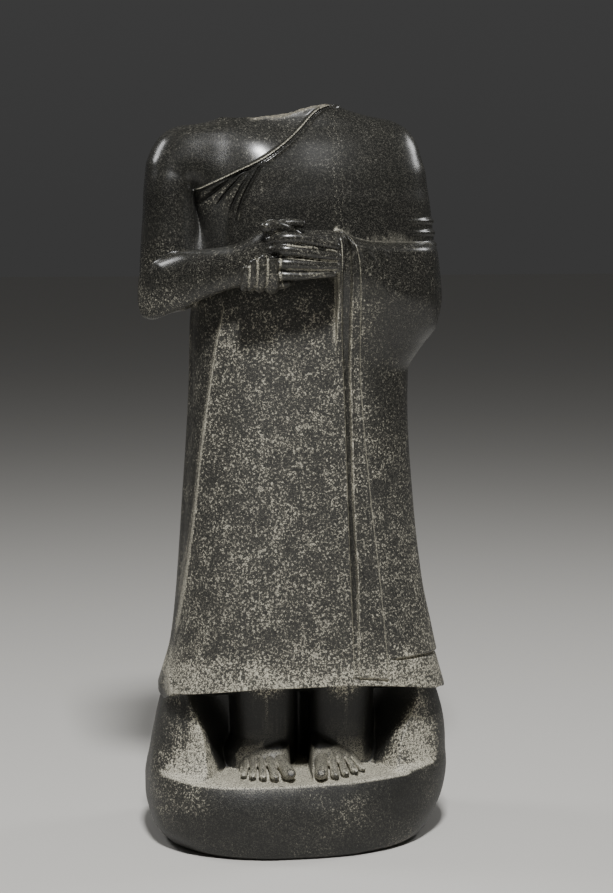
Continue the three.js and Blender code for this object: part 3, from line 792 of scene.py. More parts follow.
    def edges(self, x: Array, z: Array, front: Array) -> dict[str, Array]:
        """Distances from the long edges of the cloth and from the gaps between the fingers, where pale
        lines of wear and painted highlight run.

        Args:
            x: Places across.
            z: Their heights.
            front: Share of each place that belongs to the front.

        Returns:
            Distances in millimetres by name, far away where a line doesn't run, and the share of the
            recess beside the hanging border.
        """
        lines = {Line.WRAP: self.wrap_edge, Line.LAP: self.border_front, Line.RIM: self.border_rear,
                 Line.ROLL: self.neck_edge}
        found = {}
        for name, line in lines.items():
            side, share = line.beside(x, z)
            away = 1 - front * plateau(share, -0.02, 0.01, 0.98, 1.01)
            found[name.value] = np.clip(side + np.sign(side) * self.far * away, -self.far, self.far)
        gaps = np.full(x.shape, self.far)
        for line in self.finger_gaps:
            side, share = line.beside(x, z)
            gaps = np.minimum(gaps, np.where((share > 0) & (share < 1), np.abs(side), self.far))
        side, _ = self.border_front.beside(x, z)
        middle, share = self.border_middle.beside(x, z)
        recess = soft_step(side, 0, 2) * soft_step(middle, 1, -2) * (share > 0) * soft_step(share, 1.3, 0.9)
        return found | {"gaps": gaps, "recess": recess * front}

    def slit_rise(self, x: Array, z: Array) -> Array:
        """Outer layer that ends in a slit above the hem on the draped side."""
        side, share = self.slit.beside(x, z)
        present = soft_step(share, 0.0, 0.25)
        layer = self.layer * soft_step(side, -0.8, 1.0) * soft_step(side, 120.0, 40.0)
        return present * (layer - 5.0 * bump(side + 2.0, 2.0 + np.clip(share, 0, 1))) * (x > 120)

    def back(self, x: Array, z: Array) -> Array:
        """Relief of the back, where the mantle's edge runs down from the neck."""
        x, z = np.broadcast_arrays(x, z)
        side, share = self.neck_edge_back.beside(x, z)
        above = soft_step(share, 1.02, 0.98)
        over = np.where(z > self.armpit_back, soft_step(side, -1.5, 1.5), 1.0)
        roll = self.roll * bump(side - 1.0, 2.0) + 1.5 * bump(side - 6.6, 1.8)
        return self.mantle * (over - 1) + above * roll


@dataclass
class Footing:
    """Rounded base with two side walls, and the niche that the feet stand in."""

    ledge: float = 122
    stations: Profile = Profile((
        (0, 206, 200, 168, 170, 2.4, 2.4), (10, 224, 217, 175, 180, 2.4, 2.4),
        (36, 243, 238, 177, 186, 2.5, 2.3), (75, 249, 258, 174, 188, 2.6, 2.1),
        (100, 249, 262, 167, 188, 2.7, 2.1), (114, 248, 263, 161, 187, 2.7, 2.1),
        (122, 247, 263, 156, 186, 2.7, 2.1), (134, 245, 262, 136, 185, 2.6, 2.2),
        (170, 239, 259, 118, 180, 2.4, 2.4), (228, 226, 248, 108, 170, 2.5, 2.5),
        (246, 221, 243, 107, 165, 2.5, 2.5), (285, 215, 236, 106, 160, 2.6, 2.6),
    ))
    niche: Profile = Profile((
        (122, 150, 140), (146, 161, 154), (170, 170, 164), (200, 180, 186), (232, 198, 210),
        (258, 214, 218), (290, 224, 226),
    ))
    mouth_y: float = -105
    front_y: float = -119
    wall_y: float = -14
    wall_slope: float = 0.93
    wall_round: float = 18.0
    mouth_round: float = 26.0
    floor_tilt: float = 0.03
    floor_round: float = 8.0
    cleft: float = 24
    cleft_x: float = 10
    cleft_half: float = 14.0
    closing: float = 0.7
    hem_low: float = 257
    hem_arch: float = 21
    hem_side: float = 241
    legs: tuple[tuple[float, Profile], ...] = (
        (-3, Profile(((110, -131), (150, -129), (165, -118), (178, -110), (240, -111), (300, -111)))),
        (23, Profile(((110, 146), (150, 144), (165, 137), (178, 133), (240, 132), (300, 132)))),
    )
    leg_y: float = -24
    leg_depth: float = 42
    leg_low: float = 100
    leg_top: float = 300
    top: float = 285
    broad: Lumps = Lumps(95.0, 5, 2.4)
    small: Lumps = Lumps(34.0, 6, 0.9)

    def hem(self, x: Array, y: Array) -> Array:
        """Height of the robe's lower edge, which arches over the feet and dips at the sides."""
        across = np.clip(np.abs(x + 4) / 226.0, 0, 1)
        arch = self.hem_low + self.hem_arch * (1 - across**2.8)
        return arch + (self.hem_side - arch) * soft_step(y, -92, -12)

    def opening(self, site: Site, half: Array) -> Array:
        """Depth inside the niche and the open space in front of it, down to the ledge.

        Args:
            site: Points to measure.
            half: Half widths of the niche to both sides, at each lattice level.

        Returns:
            Depths that are negative in the open space.
        """
        closing = np.interp(site.y, (self.mouth_y, -60, self.wall_y), (1.0, 0.86, self.closing))
        width = np.where(site.x < 0, half[0][site.level], half[1][site.level]) * closing
        walls = (np.abs(site.x) - width) * self.wall_slope
        cleft = self.cleft * bump(site.x - self.cleft_x, self.cleft_half)
        room = soft_cut(walls, site.y - self.wall_y - cleft, self.wall_round)
        space = soft_union(room, site.y - self.front_y, self.mouth_round)
        floor = self.ledge + self.floor_tilt * (site.y + 110) - site.z
        return soft_cut(space, floor, self.floor_round)

    def leg_depths(self, site: Site, outers: list[Array]) -> Array:
        """Depth inside the two legs, which stand out of the wall of the niche."""
        depths = []
        for (inner, _), outer in zip(self.legs, outers):
            outside = outer[site.level]
            half = np.abs(outside - inner) / 2
            across = (site.x - (outside + inner) / 2) / half
            along = (site.y - self.leg_y) / self.leg_depth
            size = np.sqrt(across**2 + along**2) + 1e-6
            slope = np.sqrt((across / half) ** 2 + (along / self.leg_depth) ** 2) / size
            depths.append((size - 1) / slope)
        return np.maximum(np.minimum(*depths), np.maximum(site.z - self.leg_top, self.leg_low - site.z))


@dataclass
class Carving:
    """Robe, cloth, base and niche measured together, as one piece of stone."""

    block: Block
    figure: Figure = field(default_factory=Figure)
    cloth: Cloth = field(default_factory=Cloth)
    footing: Footing = field(default_factory=Footing)
    neck: Profile = Profile((
        (-132, 1198), (-95, 1194), (-45, 1195), (0, 1204), (25, 1211), (40, 1214), (56, 1217), (72, 1221),
        (86, 1240),
    ))
    neck_tilt: float = 0.02
    neck_low: float = 1150
    neck_slope: float = 0.95
    break_broad: Lumps = Lumps(17.0, 7, 2.4)
    break_small: Lumps = Lumps(6.0, 8, 1.2)
    break_round: float = 2.0
    hem_round: float = 2.0
    foot_round: float = 5.0
    niche_round: float = 4.0
    leg_round: float = 6.0

    def __post_init__(self) -> None:
        """Looks up every measure at the columns and levels of the lattice."""
        x, z = self.block.places(0), self.block.places(2)
        self.figure_levels = Levels.of(self.figure.stations, z)
        self.base_levels = Levels.of(self.footing.stations, z)
        self.niche_levels = self.footing.niche.at(z).astype(np.float32)
        self.leg_levels = [profile.at(z)[0].astype(np.float32) for _, profile in self.footing.legs]
        self.front_relief = self.cloth.front(x[:, None], z[None, :]).astype(np.float32)
        self.back_relief = self.cloth.back(x[:, None], z[None, :]).astype(np.float32)
        slit = self.cloth.slit_rise(*np.broadcast_arrays(x[:, None], z[None, :]))
        self.slit_relief = slit.astype(np.float32)

    def depth(self, site: Site) -> Array:
        """Depth of the stone.

        Args:
            site: Points to measure.

        Returns:
            Depths in millimetres, negative inside.
        """
        points = np.stack([site.x, site.y, site.z], 1)
        stone = np.minimum(self._robe(site), self._base(site, points))
        stone = soft_union(stone, self.footing.leg_depths(site, self.leg_levels), self.leg_round)
        return self._neck_break(stone, site, points)

    def _robe(self, site: Site) -> Array:
        """Robe and torso with the relief of the cloth."""
        body = shell_depth(site, self.figure_levels.values, self.figure_levels.rises)
        front = self.front_relief[site.column, site.level]
        back = self.back_relief[site.column, site.level]
        facing = soft_step(site.y, -12.0, 12.0)
        body = body - (front * (1 - facing) + back * facing)
        body = body - self.slit_relief[site.column, site.level] * soft_step(site.y, 60.0, 20.0)
        return soft_cut(body, self.footing.hem(site.x, site.y) - site.z, self.hem_round)

    def _base(self, site: Site, points: Array) -> Array:
        """Base and side walls, with the ledge and the niche cut into them."""
        base = shell_depth(site, self.base_levels.values, self.base_levels.rises)
        base = base - self.footing.broad.at(points) - self.footing.small.at(points)
        base = soft_cut(base, -site.z, self.foot_round)
        base = np.maximum(base, site.z - self.footing.top)
        return soft_cut(base, -self.footing.opening(site, self.niche_levels), self.niche_round)

    def break_height(self, points: Array) -> Array:
        """Height of the rough break across the neck, above or below some points."""
        flat = points * (1, 1, 0)
        rough = self.break_broad.at(flat) + self.break_small.at(flat)
        smooth = self.neck.at(points[:, 0])[0] + self.neck_tilt * points[:, 1]
        return smooth + rough * soft_step(points[:, 0], -100, -60)

    def _neck_break(self, stone: Array, site: Site, points: Array) -> Array:
        """Cuts the neck off along the break."""
        near = site.z > self.neck_low
        if near.any():
            above = site.z[near] - self.break_height(points[near])
            stone[near] = soft_cut(stone[near], above * self.neck_slope, self.break_round)
        return stone


@dataclass
class BareArm:
    """Upper arm down the side, forearm forward and across, and the back of the hand."""

    upper: Profile = Profile((
        (880, -211, 14, -8, 14), (883, -212, 30, -8, 30), (890, -210, 41, -7, 42),
        (906, -207, 48, -5, 50), (950, -203, 50, 0, 55), (1013, -202, 47, 3, 57),
        (1062, -205, 41, 3, 59), (1090, -201, 43, 4, 58), (1108, -194, 48, 6, 56),
        (1126, -186, 53, 8, 53), (1144, -177, 54, 11, 46), (1158, -169, 51, 14, 37),
        (1168, -162, 42, 16, 27), (1174, -158, 28, 17, 16),
    ))
    fore: Profile = Profile((
        (-251, -28, 908, 22, 13), (-249.5, -29, 909, 32, 22), (-245, -33, 912, 41, 34),
        (-236, -42, 917, 46, 41), (-208, -61, 930, 46, 44), (-165, -90, 944, 39, 38),
        (-125, -118, 955, 34, 32), (-100, -133, 962, 36, 29), (-75, -142, 971, 43, 29),
        (-50, -148, 977, 41, 28), (-40, -150, 976, 34, 22), (-36, -150, 975, 22, 14),
    ))
    lean: float = -0.35
    square: float = 2.5
    sides: int = 56
    shoulder_seam: float = 30.0
    seam: float = 3.0

    def build(self, block: Block) -> None:
        """Joins the arm to the stone: softly at the shoulder and in the crook, crisply along the side."""
        angle = np.linspace(0, 2 * np.pi, self.sides, endpoint=False)
        power = 2 / self.square
        across = np.sign(np.cos(angle)) * np.abs(np.cos(angle)) ** power
        along = np.sign(np.sin(angle)) * np.abs(np.sin(angle)) ** power
        heights = np.linspace(self.upper.rows[0][0], self.upper.rows[-1][0], 90)
        x, half_x, y, half_y = self.upper.at(heights)[..., None]
        upper = grid_of(x + half_x * across, y + half_y * along, heights[:, None])
        block.join(loft(upper), self.shoulder_seam, self._seam)
        reach = np.linspace(self.fore.rows[0][0], self.fore.rows[-1][0], 110)
        y, z, high, deep = self.fore.at(reach)[..., None]
        fore = grid_of(reach[:, None] + self.lean * deep * across, y + deep * across, z + high * along)
        block.join(loft(fore), self.seam)

    def _seam(self, x: Array, z: Array) -> Array:
        """Share of the widest fillet between the upper arm and the torso, at places across and heights."""
        shoulder, crook = 0.8 * soft_step(z, 1076, 1112), plateau(z, 920, 950, 975, 1030)
        return np.broadcast_arrays(0.1 + 0.9 * np.maximum(shoulder, crook), x)[0]


@dataclass
class Hands:
    """Clasped hands: a palm below, four level fingers, four upright fingertips and two thumbs."""

    palm: Profile = Profile((
        (-68, -136, 969, 16, 20), (-58, -136, 974, 24, 33), (-10, -134, 976, 27, 38),
        (30, -130, 976, 27, 38), (58, -122, 974, 24, 35),
    ))
    under: Profile = Profile((
        (-108, -146, 932, 6, 5), (-100, -148, 931, 18, 9), (-60, -150, 931, 24, 11),
        (-38, -146, 932, 21, 9), (-26, -140, 935, 10, 5),
    ))
    level_fingers: tuple[Rows, ...] = (
        ((-70, -158, 996, 10.0), (-48, -173, 1001, 10.0), (-20, -177, 1001, 8.5), (8, -176, 995, 7.6),
         (44, -167, 988, 6.2)),
        ((-68, -160, 983, 9.0), (-48, -176, 983, 9.6), (-22, -178, 981, 8.8), (10, -177, 975.5, 7.3),
         (46, -168, 972, 6.4)),
        ((-68, -160, 962, 9.0), (-48, -176, 962, 9.4), (-22, -178, 961, 8.5), (10, -176, 959, 7.2),
         (44, -168, 958, 6.0)),
        ((-64, -160, 945, 7.5), (-48, -174, 944, 7.8), (-22, -176, 943, 6.8), (8, -174, 945, 5.8),
         (38, -168, 946, 5.0)),
    )
    upright_fingers: Rows = (
        (-108, -108, 966, 6.2, 5.8), (-97, -96, 976, 7.0, 6.6), (-83, -82, 982, 8.4, 7.6),
        (-64, -67, 980, 11.0, 8.4),
    )
    draped_thumb: Rows = (
        (-10, -136, 1000, 9), (-36, -152, 1014, 9.2), (-62, -166, 1021, 10), (-82, -173, 1015, 10),
    )
    bare_thumb: Rows = (
        (-70, -144, 1006, 9), (-54, -150, 1021, 7.6), (-30, -152, 1025, 6.8), (-8, -152, 1023, 6.6),
    )
    palm_seam: float = 3.0
    finger_seam: float = 0.6
    nail_seam: float = 0.5

    def build(self, block: Block, stone: bpy.types.Material) -> None:
        """Joins the hands to the stone.

        Args:
            block: The stone.
            stone: Material for the rods.
        """
        angle = np.linspace(0, 2 * np.pi, 40, endpoint=False)
        for profile in (self.palm, self.under):
            reach = np.linspace(profile.rows[0][0], profile.rows[-1][0], 60)
            y, z, deep, high = profile.at(reach)[..., None]
            rings = grid_of(reach[:, None], y + deep * np.cos(angle), z + high * np.sin(angle))
            block.join(loft(rings), self.palm_seam)
        fingers = Rods()
        for finger in (*self.level_fingers, self.draped_thumb, self.bare_thumb):
            table = np.array(finger)
            fingers.add(table[:, :3], table[:, 3])
        nails = []
        for foot, x, top, thick, thin in self.upright_fingers:
            middle = (foot + x) / 2
            fingers.add([(foot + 3, -142, 925), (foot, -167, 927), (middle, -180, 944), (x, -182, top - 6)],
                        [thick, thick, (thick + thin) / 2, thin])
            nails.append(lens((x, -181.6 - thin, top - 11), (thin * 0.6, 0, 0), (0, 0.6, 6.5), (0, 1.3, 0)))
        block.join(fingers.build(stone), self.finger_seam)
        block.join(merged(nails), self.nail_seam)


@dataclass
class Feet:
    """Two feet on the ledge: insteps that fall forward from the ankles, and toes that fan out."""

    ledge: float = 121
    heels: Rows = ((-56, -44), (60, -44))
    tips: tuple[Rows, ...] = (
        ((-31, -149), (-55, -144), (-74, -137), (-90.5, -128), (-104.5, -117)),
        ((18, -156), (43.5, -148), (63, -138), (81.5, -127), (97, -114)),
    )
    radii: tuple[float, ...] = (11.4, 7.4, 6.7, 6.2, 5.6)
    lengths: tuple[float, ...] = (54, 54, 50, 46, 41)
    roots: tuple[float, ...] = (19, 21, 20, 18.5, 16)
    ankle: float = 44
    sole: float = 12
    fan: float = 0.24
    instep_seam: float = 4.0
    toe_seam: float = 1.8
    nail_seam: float = 0.6
    height: Profile = Profile((
        (-0.2, 62), (0, 58), (0.35, 49), (0.7, 39), (0.9, 31), (0.97, 25), (1.05, 18), (1.2, 13),
        (1.5, 9.5), (1.64, 7), (1.7, 4), (1.75, 0),
    ))
    section: Profile = Profile((
        (-1, -0.1), (-0.97, 0.2), (-0.7, 0.52), (-0.2, 0.82), (0.2, 0.96), (0.55, 1.0), (0.86, 0.84),
        (0.98, 0.4), (1, -0.1),
    ))

    def build(self, block: Block, stone: bpy.types.Material) -> None:
        """Joins the feet to the stone.

        Args:
            block: The stone.
            stone: Material for the rods.
        """
        toes = Rods(sides=18)
        nails = []
        for (heel_x, heel_y), tips in zip(self.heels, self.tips):
            inward = 1.0 if tips[0][0] > tips[-1][0] else -1.0
            edges = (tips[0][0] + inward * self.radii[0], tips[-1][0] - inward * self.radii[-1])
            ends = (tips[0][1] + self.lengths[0], tips[-1][1] + self.lengths[-1])
            share = np.linspace(-0.2, 1.75, 60)[:, None]
            middle = heel_x + ((edges[0] + edges[1]) / 2 - heel_x) * share
            half = self.ankle + (abs(edges[0] - edges[1]) / 2 - 3 - self.ankle) * share
            across = np.linspace(-1, 1, 40)[None, :]
            y = heel_y + ((ends[0] + ends[1]) / 2 - heel_y + (ends[0] - ends[1]) / 2 * across) * share
            rise = self.height.at(share)[0] * self.section.at(across)[0]
            top = grid_of(middle + inward * across * half, y, self.ledge + rise)
            sole = top[:, ::-1].copy()
            sole[..., 2] = self.ledge - self.sole
            block.join(loft(np.concatenate([top, sole], 1)), self.instep_seam)
            for (x, tip), radius, length, root in zip(tips, self.radii, self.lengths, self.roots):
                spread = (x - heel_x) * self.fan
                toes.add([
                    (x - spread * 1.8, tip + length * 1.8, self.ledge + root + 9),
                    (x - spread, tip + length, self.ledge + root),
                    (x - spread * 0.6, tip + length * 0.6, self.ledge + 0.6 * root + 0.5 * radius),
                    (x - spread * 0.2, tip + length * 0.26, self.ledge + radius * 1.15),
                    (x, tip + radius * 0.3, self.ledge + radius * 0.78),
                ], [radius * 0.94, radius * 0.96, radius * 0.92, radius, radius * 0.9])
                nails.append(lens(
                    (x, tip + radius * 0.15, self.ledge + radius * 1.58), (radius * 0.62, 0, 0),
                    (0, radius * 0.5, radius * 0.42), (0, -0.8, 1.0)))
        block.join(toes.build(stone), self.toe_seam)
        block.join(merged(nails), self.nail_seam)


@dataclass
class ElbowFolds:
    """Three short ridges of cloth round the outside of the draped elbow."""

    heights: tuple[float, ...] = (1027, 1008, 989)
    radius: float = 5.8
    inward: float = 2.2
    start: float = 46
    end: float = -24
    seam: float = 2.5

    def build(self, block: Block, figure: Figure, stone: bpy.types.Material) -> None:
        """Joins the ridges to the stone.

        Args:
            block: The stone.
            figure: The figure that they lie on.
            stone: Material for the rods.
        """
        ridges = Rods(sides=14)
        for height in self.heights:
            _, draped, front, back, square = figure.stations.at(np.array(height))
            angle = -np.radians(np.linspace(self.start, self.end, 12))
            cosine, sine = np.cos(angle), np.sin(angle)
            x = draped * np.abs(cosine) ** (2 / square)
            depth = np.where(sine < 0, front, back)
            y = np.sign(sine) * depth * np.abs(sine) ** (2 / square)
            out = np.stack([x, y * 1.6, np.zeros(12)], 1)
            out /= np.linalg.norm(out, axis=1)[:, None]
            swell = 0.35 + 0.65 * np.sin(np.linspace(0, np.pi, 12))
            points = np.stack([x, y, np.full(12, height)], 1) - self.inward * out
            ridges.add(points, self.radius * swell)
        block.join(ridges.build(stone), self.seam)


# Finishes

class Layer(Enum):
    """Ways in which the stone has weathered, with painted shade carried in the crust and painted highlight
    in the chalk, named as their shares in the mesh.
    """

    POLISH = "polish"
    CRUST = "crust"
    CHALK = "chalk"
    RAW = "raw"
    DULL = "dull"


@dataclass(frozen=True)
class DioriteFinish:
    """Hard dark diorite, ground and polished by hand: glossy grey-black with a fine pale grain above,
    worn matt with cream mineral crust below, and rough pale grey where it is broken or left coarse."""

    dark: str = "#1a1a18"
    warm: str = "#55534c"
    speck: str = "#74716a"
    crust: str = "#cbc6b2"
    raw: str = "#6d6757"
    fine: float = 1.7
    vein: float = 3.9
    cloud: float = 30.0
    polish: float = 0.24
    worn: float = 0.55
    gloss: float = 0.5
    refraction: float = 1.52
    relief: float = 0.0008
    grain_range: tuple[float, float] = (0.36, 0.64)
    spot_range: tuple[float, float] = (-0.06, 0.15)
    crust_range: tuple[float, float] = (0.11, 0.7)
    pale_range: tuple[float, float] = (0.36, 0.6)
    dust_range: tuple[float, float] = (0.25, 0.55)
    break_range: tuple[float, float] = (0.4, 0.62)
    line_middle: float = 0.8
    line_half: float = 0.9
    line_share: float = 0.55

    def build(self) -> bpy.types.Material:
        """Makes the material, which reads attributes of the mesh for its wear and for the shade and
        highlights painted into them.
        """
        material = bpy.data.materials.new("polished_diorite")
        material.use_nodes = True
        tree = material.node_tree
        tree.nodes.clear()
        spot = add_node(tree, "ShaderNodeTexCoord").outputs["Object"]
        polish, crust, chalk, raw, dull = (self._read(tree, layer) for layer in Layer)
        fine = self._noise(tree, spot, self.fine, 1.0)
        vein = self._noise(tree, spot, self.vein, 2.0, 0.6)
        cloud = self._noise(tree, spot, self.cloud, 3.0)
        worn = self._sum(tree, (polish, -1.0), offset=1.0)
        grain = self._ramp(tree, self._sum(tree, (fine, 0.65), (vein, 0.35)), *self.grain_range)
        shade = self._sum(tree, (crust, 0.9), (grain, 0.6), (cloud, 0.2), offset=-0.5)
        ground = self._mix(tree, shade, self.dark, self.warm)
        pattern = self._sum(tree, (vein, 1.0), (fine, 0.5), (cloud, 0.35), (crust, 0.34), offset=-1.17)
        spots = self._ramp(tree, pattern, *self.spot_range)
        pale = self._mix(tree, self._ramp(tree, fine, *self.pale_range), self.speck, self.crust)
        strength = self._ramp(tree, crust, *self.crust_range)
        stone = self._mix(tree, math_node(tree, "MULTIPLY", spots, strength), ground, pale)
        # Pale lines along the cloth's edges and the finger gaps: wear, with painted highlight where the
        # edges catch the light.
        laid = self._sum(tree, *((self._line(tree, line), self.line_share) for line in Line))
        laid = self._sum(tree, (chalk, 1.0), (laid, 1.0))
        laid = math_node(tree, "MULTIPLY", laid, self._ramp(tree, fine, *self.dust_range))
        stone = self._mix(tree, laid, stone, pale)
        broken = self._mix(tree, self._ramp(tree, vein, *self.break_range), self.warm, self.raw)
        broken = self._mix(tree, math_node(tree, "MULTIPLY", spots, grain), broken, self.crust)
        stone = self._mix(tree, raw, stone, broken)
        matt = self.worn - self.polish
        rough = self._sum(tree, (worn, matt), (spots, 0.14), (raw, 0.2), offset=self.polish)
        relief = add_node(tree, "ShaderNodeBump", {"Strength": 0.3, "Distance": self.relief}, links={
            "Height": math_node(tree, "MULTIPLY", grain, worn)})
        shader = add_node(tree, "ShaderNodeBsdfPrincipled", {"IOR": self.refraction}, links={
            "Base Color": stone, "Roughness": rough, "Normal": relief.outputs["Normal"],
            "Specular IOR Level": self._sum(tree, (dull, -self.gloss), offset=self.gloss)})
        add_node(tree, "ShaderNodeOutputMaterial", links={"Surface": shader.outputs["BSDF"]})
        return material

    def _sum(self, tree: Tree, *parts: tuple[Socket, float], offset: float = 0.0) -> Socket:
        """Weighted sum of values, each given with its weight, and of an offset."""
        total = offset
        for value, weight in parts:
            total = math_node(tree, "MULTIPLY_ADD", value, weight, total)
        return total

    def _read(self, tree: Tree, layer: Layer | Line) -> Socket:
        """What the mesh stores at each point under the layer's name."""
        return add_node(tree, "ShaderNodeAttribute", attribute_name=layer.value).outputs["Fac"]

    def _line(self, tree: Tree, line: Line) -> Socket:
        """Thin pale line where an edge of the cloth or a finger gap runs, from the distance stored in the
        mesh: wear, with painted highlight.
        """
        return math_node(tree, "COMPARE", self._read(tree, line), self.line_middle, self.line_half)

    def _noise(self, tree: Tree, spot: Socket, size: float, detail: float, rough: float = 0.5) -> Socket:
        """Noise whose features are about size millimetres wide."""
        values = {"Scale": 1.0 / (size * MM), "Detail": detail, "Roughness": rough}
        return add_node(tree, "ShaderNodeTexNoise", values, {"Vector": spot}).outputs["Fac"]

    def _ramp(self, tree: Tree, value: Socket, low: float, high: float) -> Socket:
        """Share of the way from low to high."""
        ramp = add_node(tree, "ShaderNodeMapRange", {"From Min": low, "From Max": high}, {"Value": value},
                        interpolation_type="SMOOTHSTEP")
        return ramp.outputs[0]

    def _mix(self, tree: Tree, share: Socket, first: Socket | str, second: Socket | str) -> Socket:
        """Mixes two colours, each a socket or a hex value."""
        node = add_node(tree, "ShaderNodeMix", links={"Factor": share}, data_type="RGBA")
        for slot, colour in ((6, first), (7, second)):
            if isinstance(colour, str):
                node.inputs[slot].default_value = linear(colour)
            else:
                tree.links.new(colour, node.inputs[slot])
        return node.outputs[2]


@dataclass(frozen=True)
class FloorFinish:
    """Plain painted studio floor: pale and matt."""

    colour: str = "#c9c7c2"
    rough: float = 0.9

    def build(self) -> bpy.types.Material:
        """Makes the material."""
        material = bpy.data.materials.new("matt_studio_paint")
        material.use_nodes = True
        shader = material.node_tree.nodes["Principled BSDF"]
        shader.inputs["Base Color"].default_value = linear(self.colour)
        shader.inputs["Roughness"].default_value = self.rough
        return material


# How the stone has weathered, and where shade and highlights are painted on it

@dataclass
class Lie:
    """How the surface lies at each point: its normal, and how far it is shut in or stands out."""

    normals: Array
    hidden: Array
    crevice: Array
    edge: Array

    @classmethod
    def of(cls, block: Block, points: Array) -> "Lie":
        """Feels the stone round some points of its surface, outwards and inwards.

        Args:
            block: The stone.
            points: The points, one row each.

        Returns:
            How the surface lies there.
        """
        slope = np.stack([block.depth_at(points + axis) - block.depth_at(points - axis)
                          for axis in np.eye(3) * block.pitch], 1)
        length = np.maximum(np.linalg.norm(slope, axis=1), 1e-6)
        normals = slope / length[:, None]
        steep = length / (2 * block.pitch)
        felt = (1 - np.clip(block.depth_at(points + normals * reach) / (reach * steep), 0, 1)
                for reach in (7.0, 2.6, -2.6))
        return cls(normals, *felt)

    @property
    def up(self) -> Array:
        """Share of each point that faces up."""
        return soft_step(self.normals[:, 2], 0.4, 0.75)

    @property
    def groove(self) -> Array:
        """Share of each point that lies in a narrow groove."""
        return np.clip(1.5 * self.crevice - 0.25, 0, 1)


@dataclass
class Wear:
    """How the stone has weathered, and where shade and highlights are painted on it, from what each point
    of it belongs to as a share between 0 and 1.
    """

    points: Array
    lie: Lie
    patch: Array
    small: Array
    front: Array
    robe: Array
    base: Array
    niche: Array
    feet: Array
    hands: Array
    armpit: Array
    lines: Array
    worn_and_lit_edges: Array

    @classmethod
    def of(cls, points: Array, lie: Lie, front: Array, wrap: Array, recess: Array) -> "Wear":
        """Finds what each point belongs to.

        Args:
            points: The points, one row each.
            lie: How the surface lies there.
            front: Their shares of the front.
            wrap: Their distances from the long edge of the mantle.
            recess: Their shares of the recess beside the hanging border, which gets less crust and more
                polish as painted shade.

        Returns:
            The wear.
        """
        x, y, z = points.T
        patch, small = Lumps(75.0, 11).at(points), Lumps(26.0, 12).at(points)
        robe = soft_step(z + 25 * patch, 960, 880)
        robe = robe * (1 - soft_step(x, 70, 150) * soft_step(z + 30 * patch, 480, 860))
        # The recess beside the hanging border is kept off the robe's crust, which paints shade in it.
        robe = robe * (1 - 0.5 * soft_step(wrap, 2, -2) * soft_step(z, 900, 870)) * (1 - 0.8 * recess)
        base = soft_step(z, 262, 252)
        # The niche mask follows the edge of the shade under the hem; the stone inside it is kept dark as
        # painted shade.
        niche = np.where(np.abs(x) < 128, soft_step(y, -102, -76), soft_step(y, -88, -56)) * base
        niche = niche * (z < 272) * (z > 126) * (np.abs(x) < 200) * (y < 60)
        feet = base * soft_step(z, 125, 129) * (np.abs(x) < 125) * (y < -56) * (y > -172)
        hands = soft_step(y, -128, -140) * soft_step(z, 1040, 1030) * (z > 905) * (x < 48) * (x > -120)
        armpit = soft_step(x, -125, -145) * soft_step(z, 985, 1005)
        chest = soft_step(z, 1034, 1046) + 0.7 * soft_step(x, 56, 66) * soft_step(z, 978, 986) * (z < 1040)
        lines = lie.groove * (1 - niche) * (1 - armpit) * (1 - chest) * (1 - recess)
        # Convex edges of the robe turn paler: rubbed wear, with painted edge highlight.
        worn_and_lit_edges = np.clip(1.7 * lie.edge - 0.4, 0, 1) * robe * (1 - base)
        return cls(points, lie, patch, small, front, robe, base, niche, feet, hands, armpit, lines, worn_and_lit_edges)

    def layers(self, fan: Array, height: Array) -> dict[Layer, Array]:
        """Shares that the finish reads.

        Args:
            fan: How much crust the folds of the fan gained, with painted shade in their grooves.
            height: Height of the break at each point.

        Returns:
            The shares by layer.
        """
        raw, dull = self._raw(height), self._dull()
        layers = {Layer.POLISH: self._polish(dull) * (1 - raw), Layer.CRUST: self._crust(fan),
                  Layer.CHALK: self._chalk(), Layer.RAW: raw, Layer.DULL: dull}
        return {layer: np.clip(share, 0, 1) for layer, share in layers.items()}

    def _polish(self, dull: Array) -> Array:
        """Polish that is left: most on the chest and the arms, least on the base and below the arm."""
        x, y, z = self.points.T
        flank = plateau(x, -195, -180, -130, -118) * plateau(z, 972, 985, 1066, 1078) * (y < 60)
        polish = np.where(self.base > 0.5, 0.15 + 0.2 * self.niche, 0.95 - 0.85 * self.robe)
        polish = polish * (1 - 0.5 * self.lines) * (1 - 0.7 * self.armpit * self.lie.hidden)
        return polish * (1 - 0.95 * flank) * (1 - 0.5 * dull)

    def _crust(self, fan: Array) -> Array:
        """Cream mineral crust: patchy on the robe and thick on the base. It is kept off the niche, the
        chest's grooves, the fan's grooves, the recess beside the hanging border and the toes' fronts, which
        paints shade there.
        """
        x, y, z = self.points.T
        cloth = 0.21 + 0.05 * soft_step(z, 1015, 960) + 0.22 * self.robe
        cloth = cloth + 0.3 * soft_step(z, 345, 290) * self.robe + 0.07 * self.patch + 0.03 * self.small
        walls = self.base * (z > 126) * soft_step(y, -60, -90) * (1 - self.feet)
        stone = 0.25 + 0.45 * self.lie.up + 0.6 * walls + 0.19 * self.patch + 0.07 * self.small
        stone = stone + 0.12 * soft_step(x, -120, -170) * soft_step(z, 50, 90)
        # Crust is kept off the niche: painted shade under the hem.
        crust = cloth * (1 - self.base) + self.base * stone * (1 - 0.9 * self.niche)
        # Less crust in the grooves of the chest: painted shade in them.
        crust = crust - 0.35 * self.lie.groove * soft_step(z, 1034, 1046)
        crust = crust + 0.3 * self.lines + 0.4 * self.worn_and_lit_edges + 0.08 * self.hands
        # Crust of the fan's folds, with painted shade in its grooves.
        crust = crust + fan * self.front * (x > -165) * (z > 1015)
        toes = 0.1 + 0.2 * soft_step(z, 131, 134)
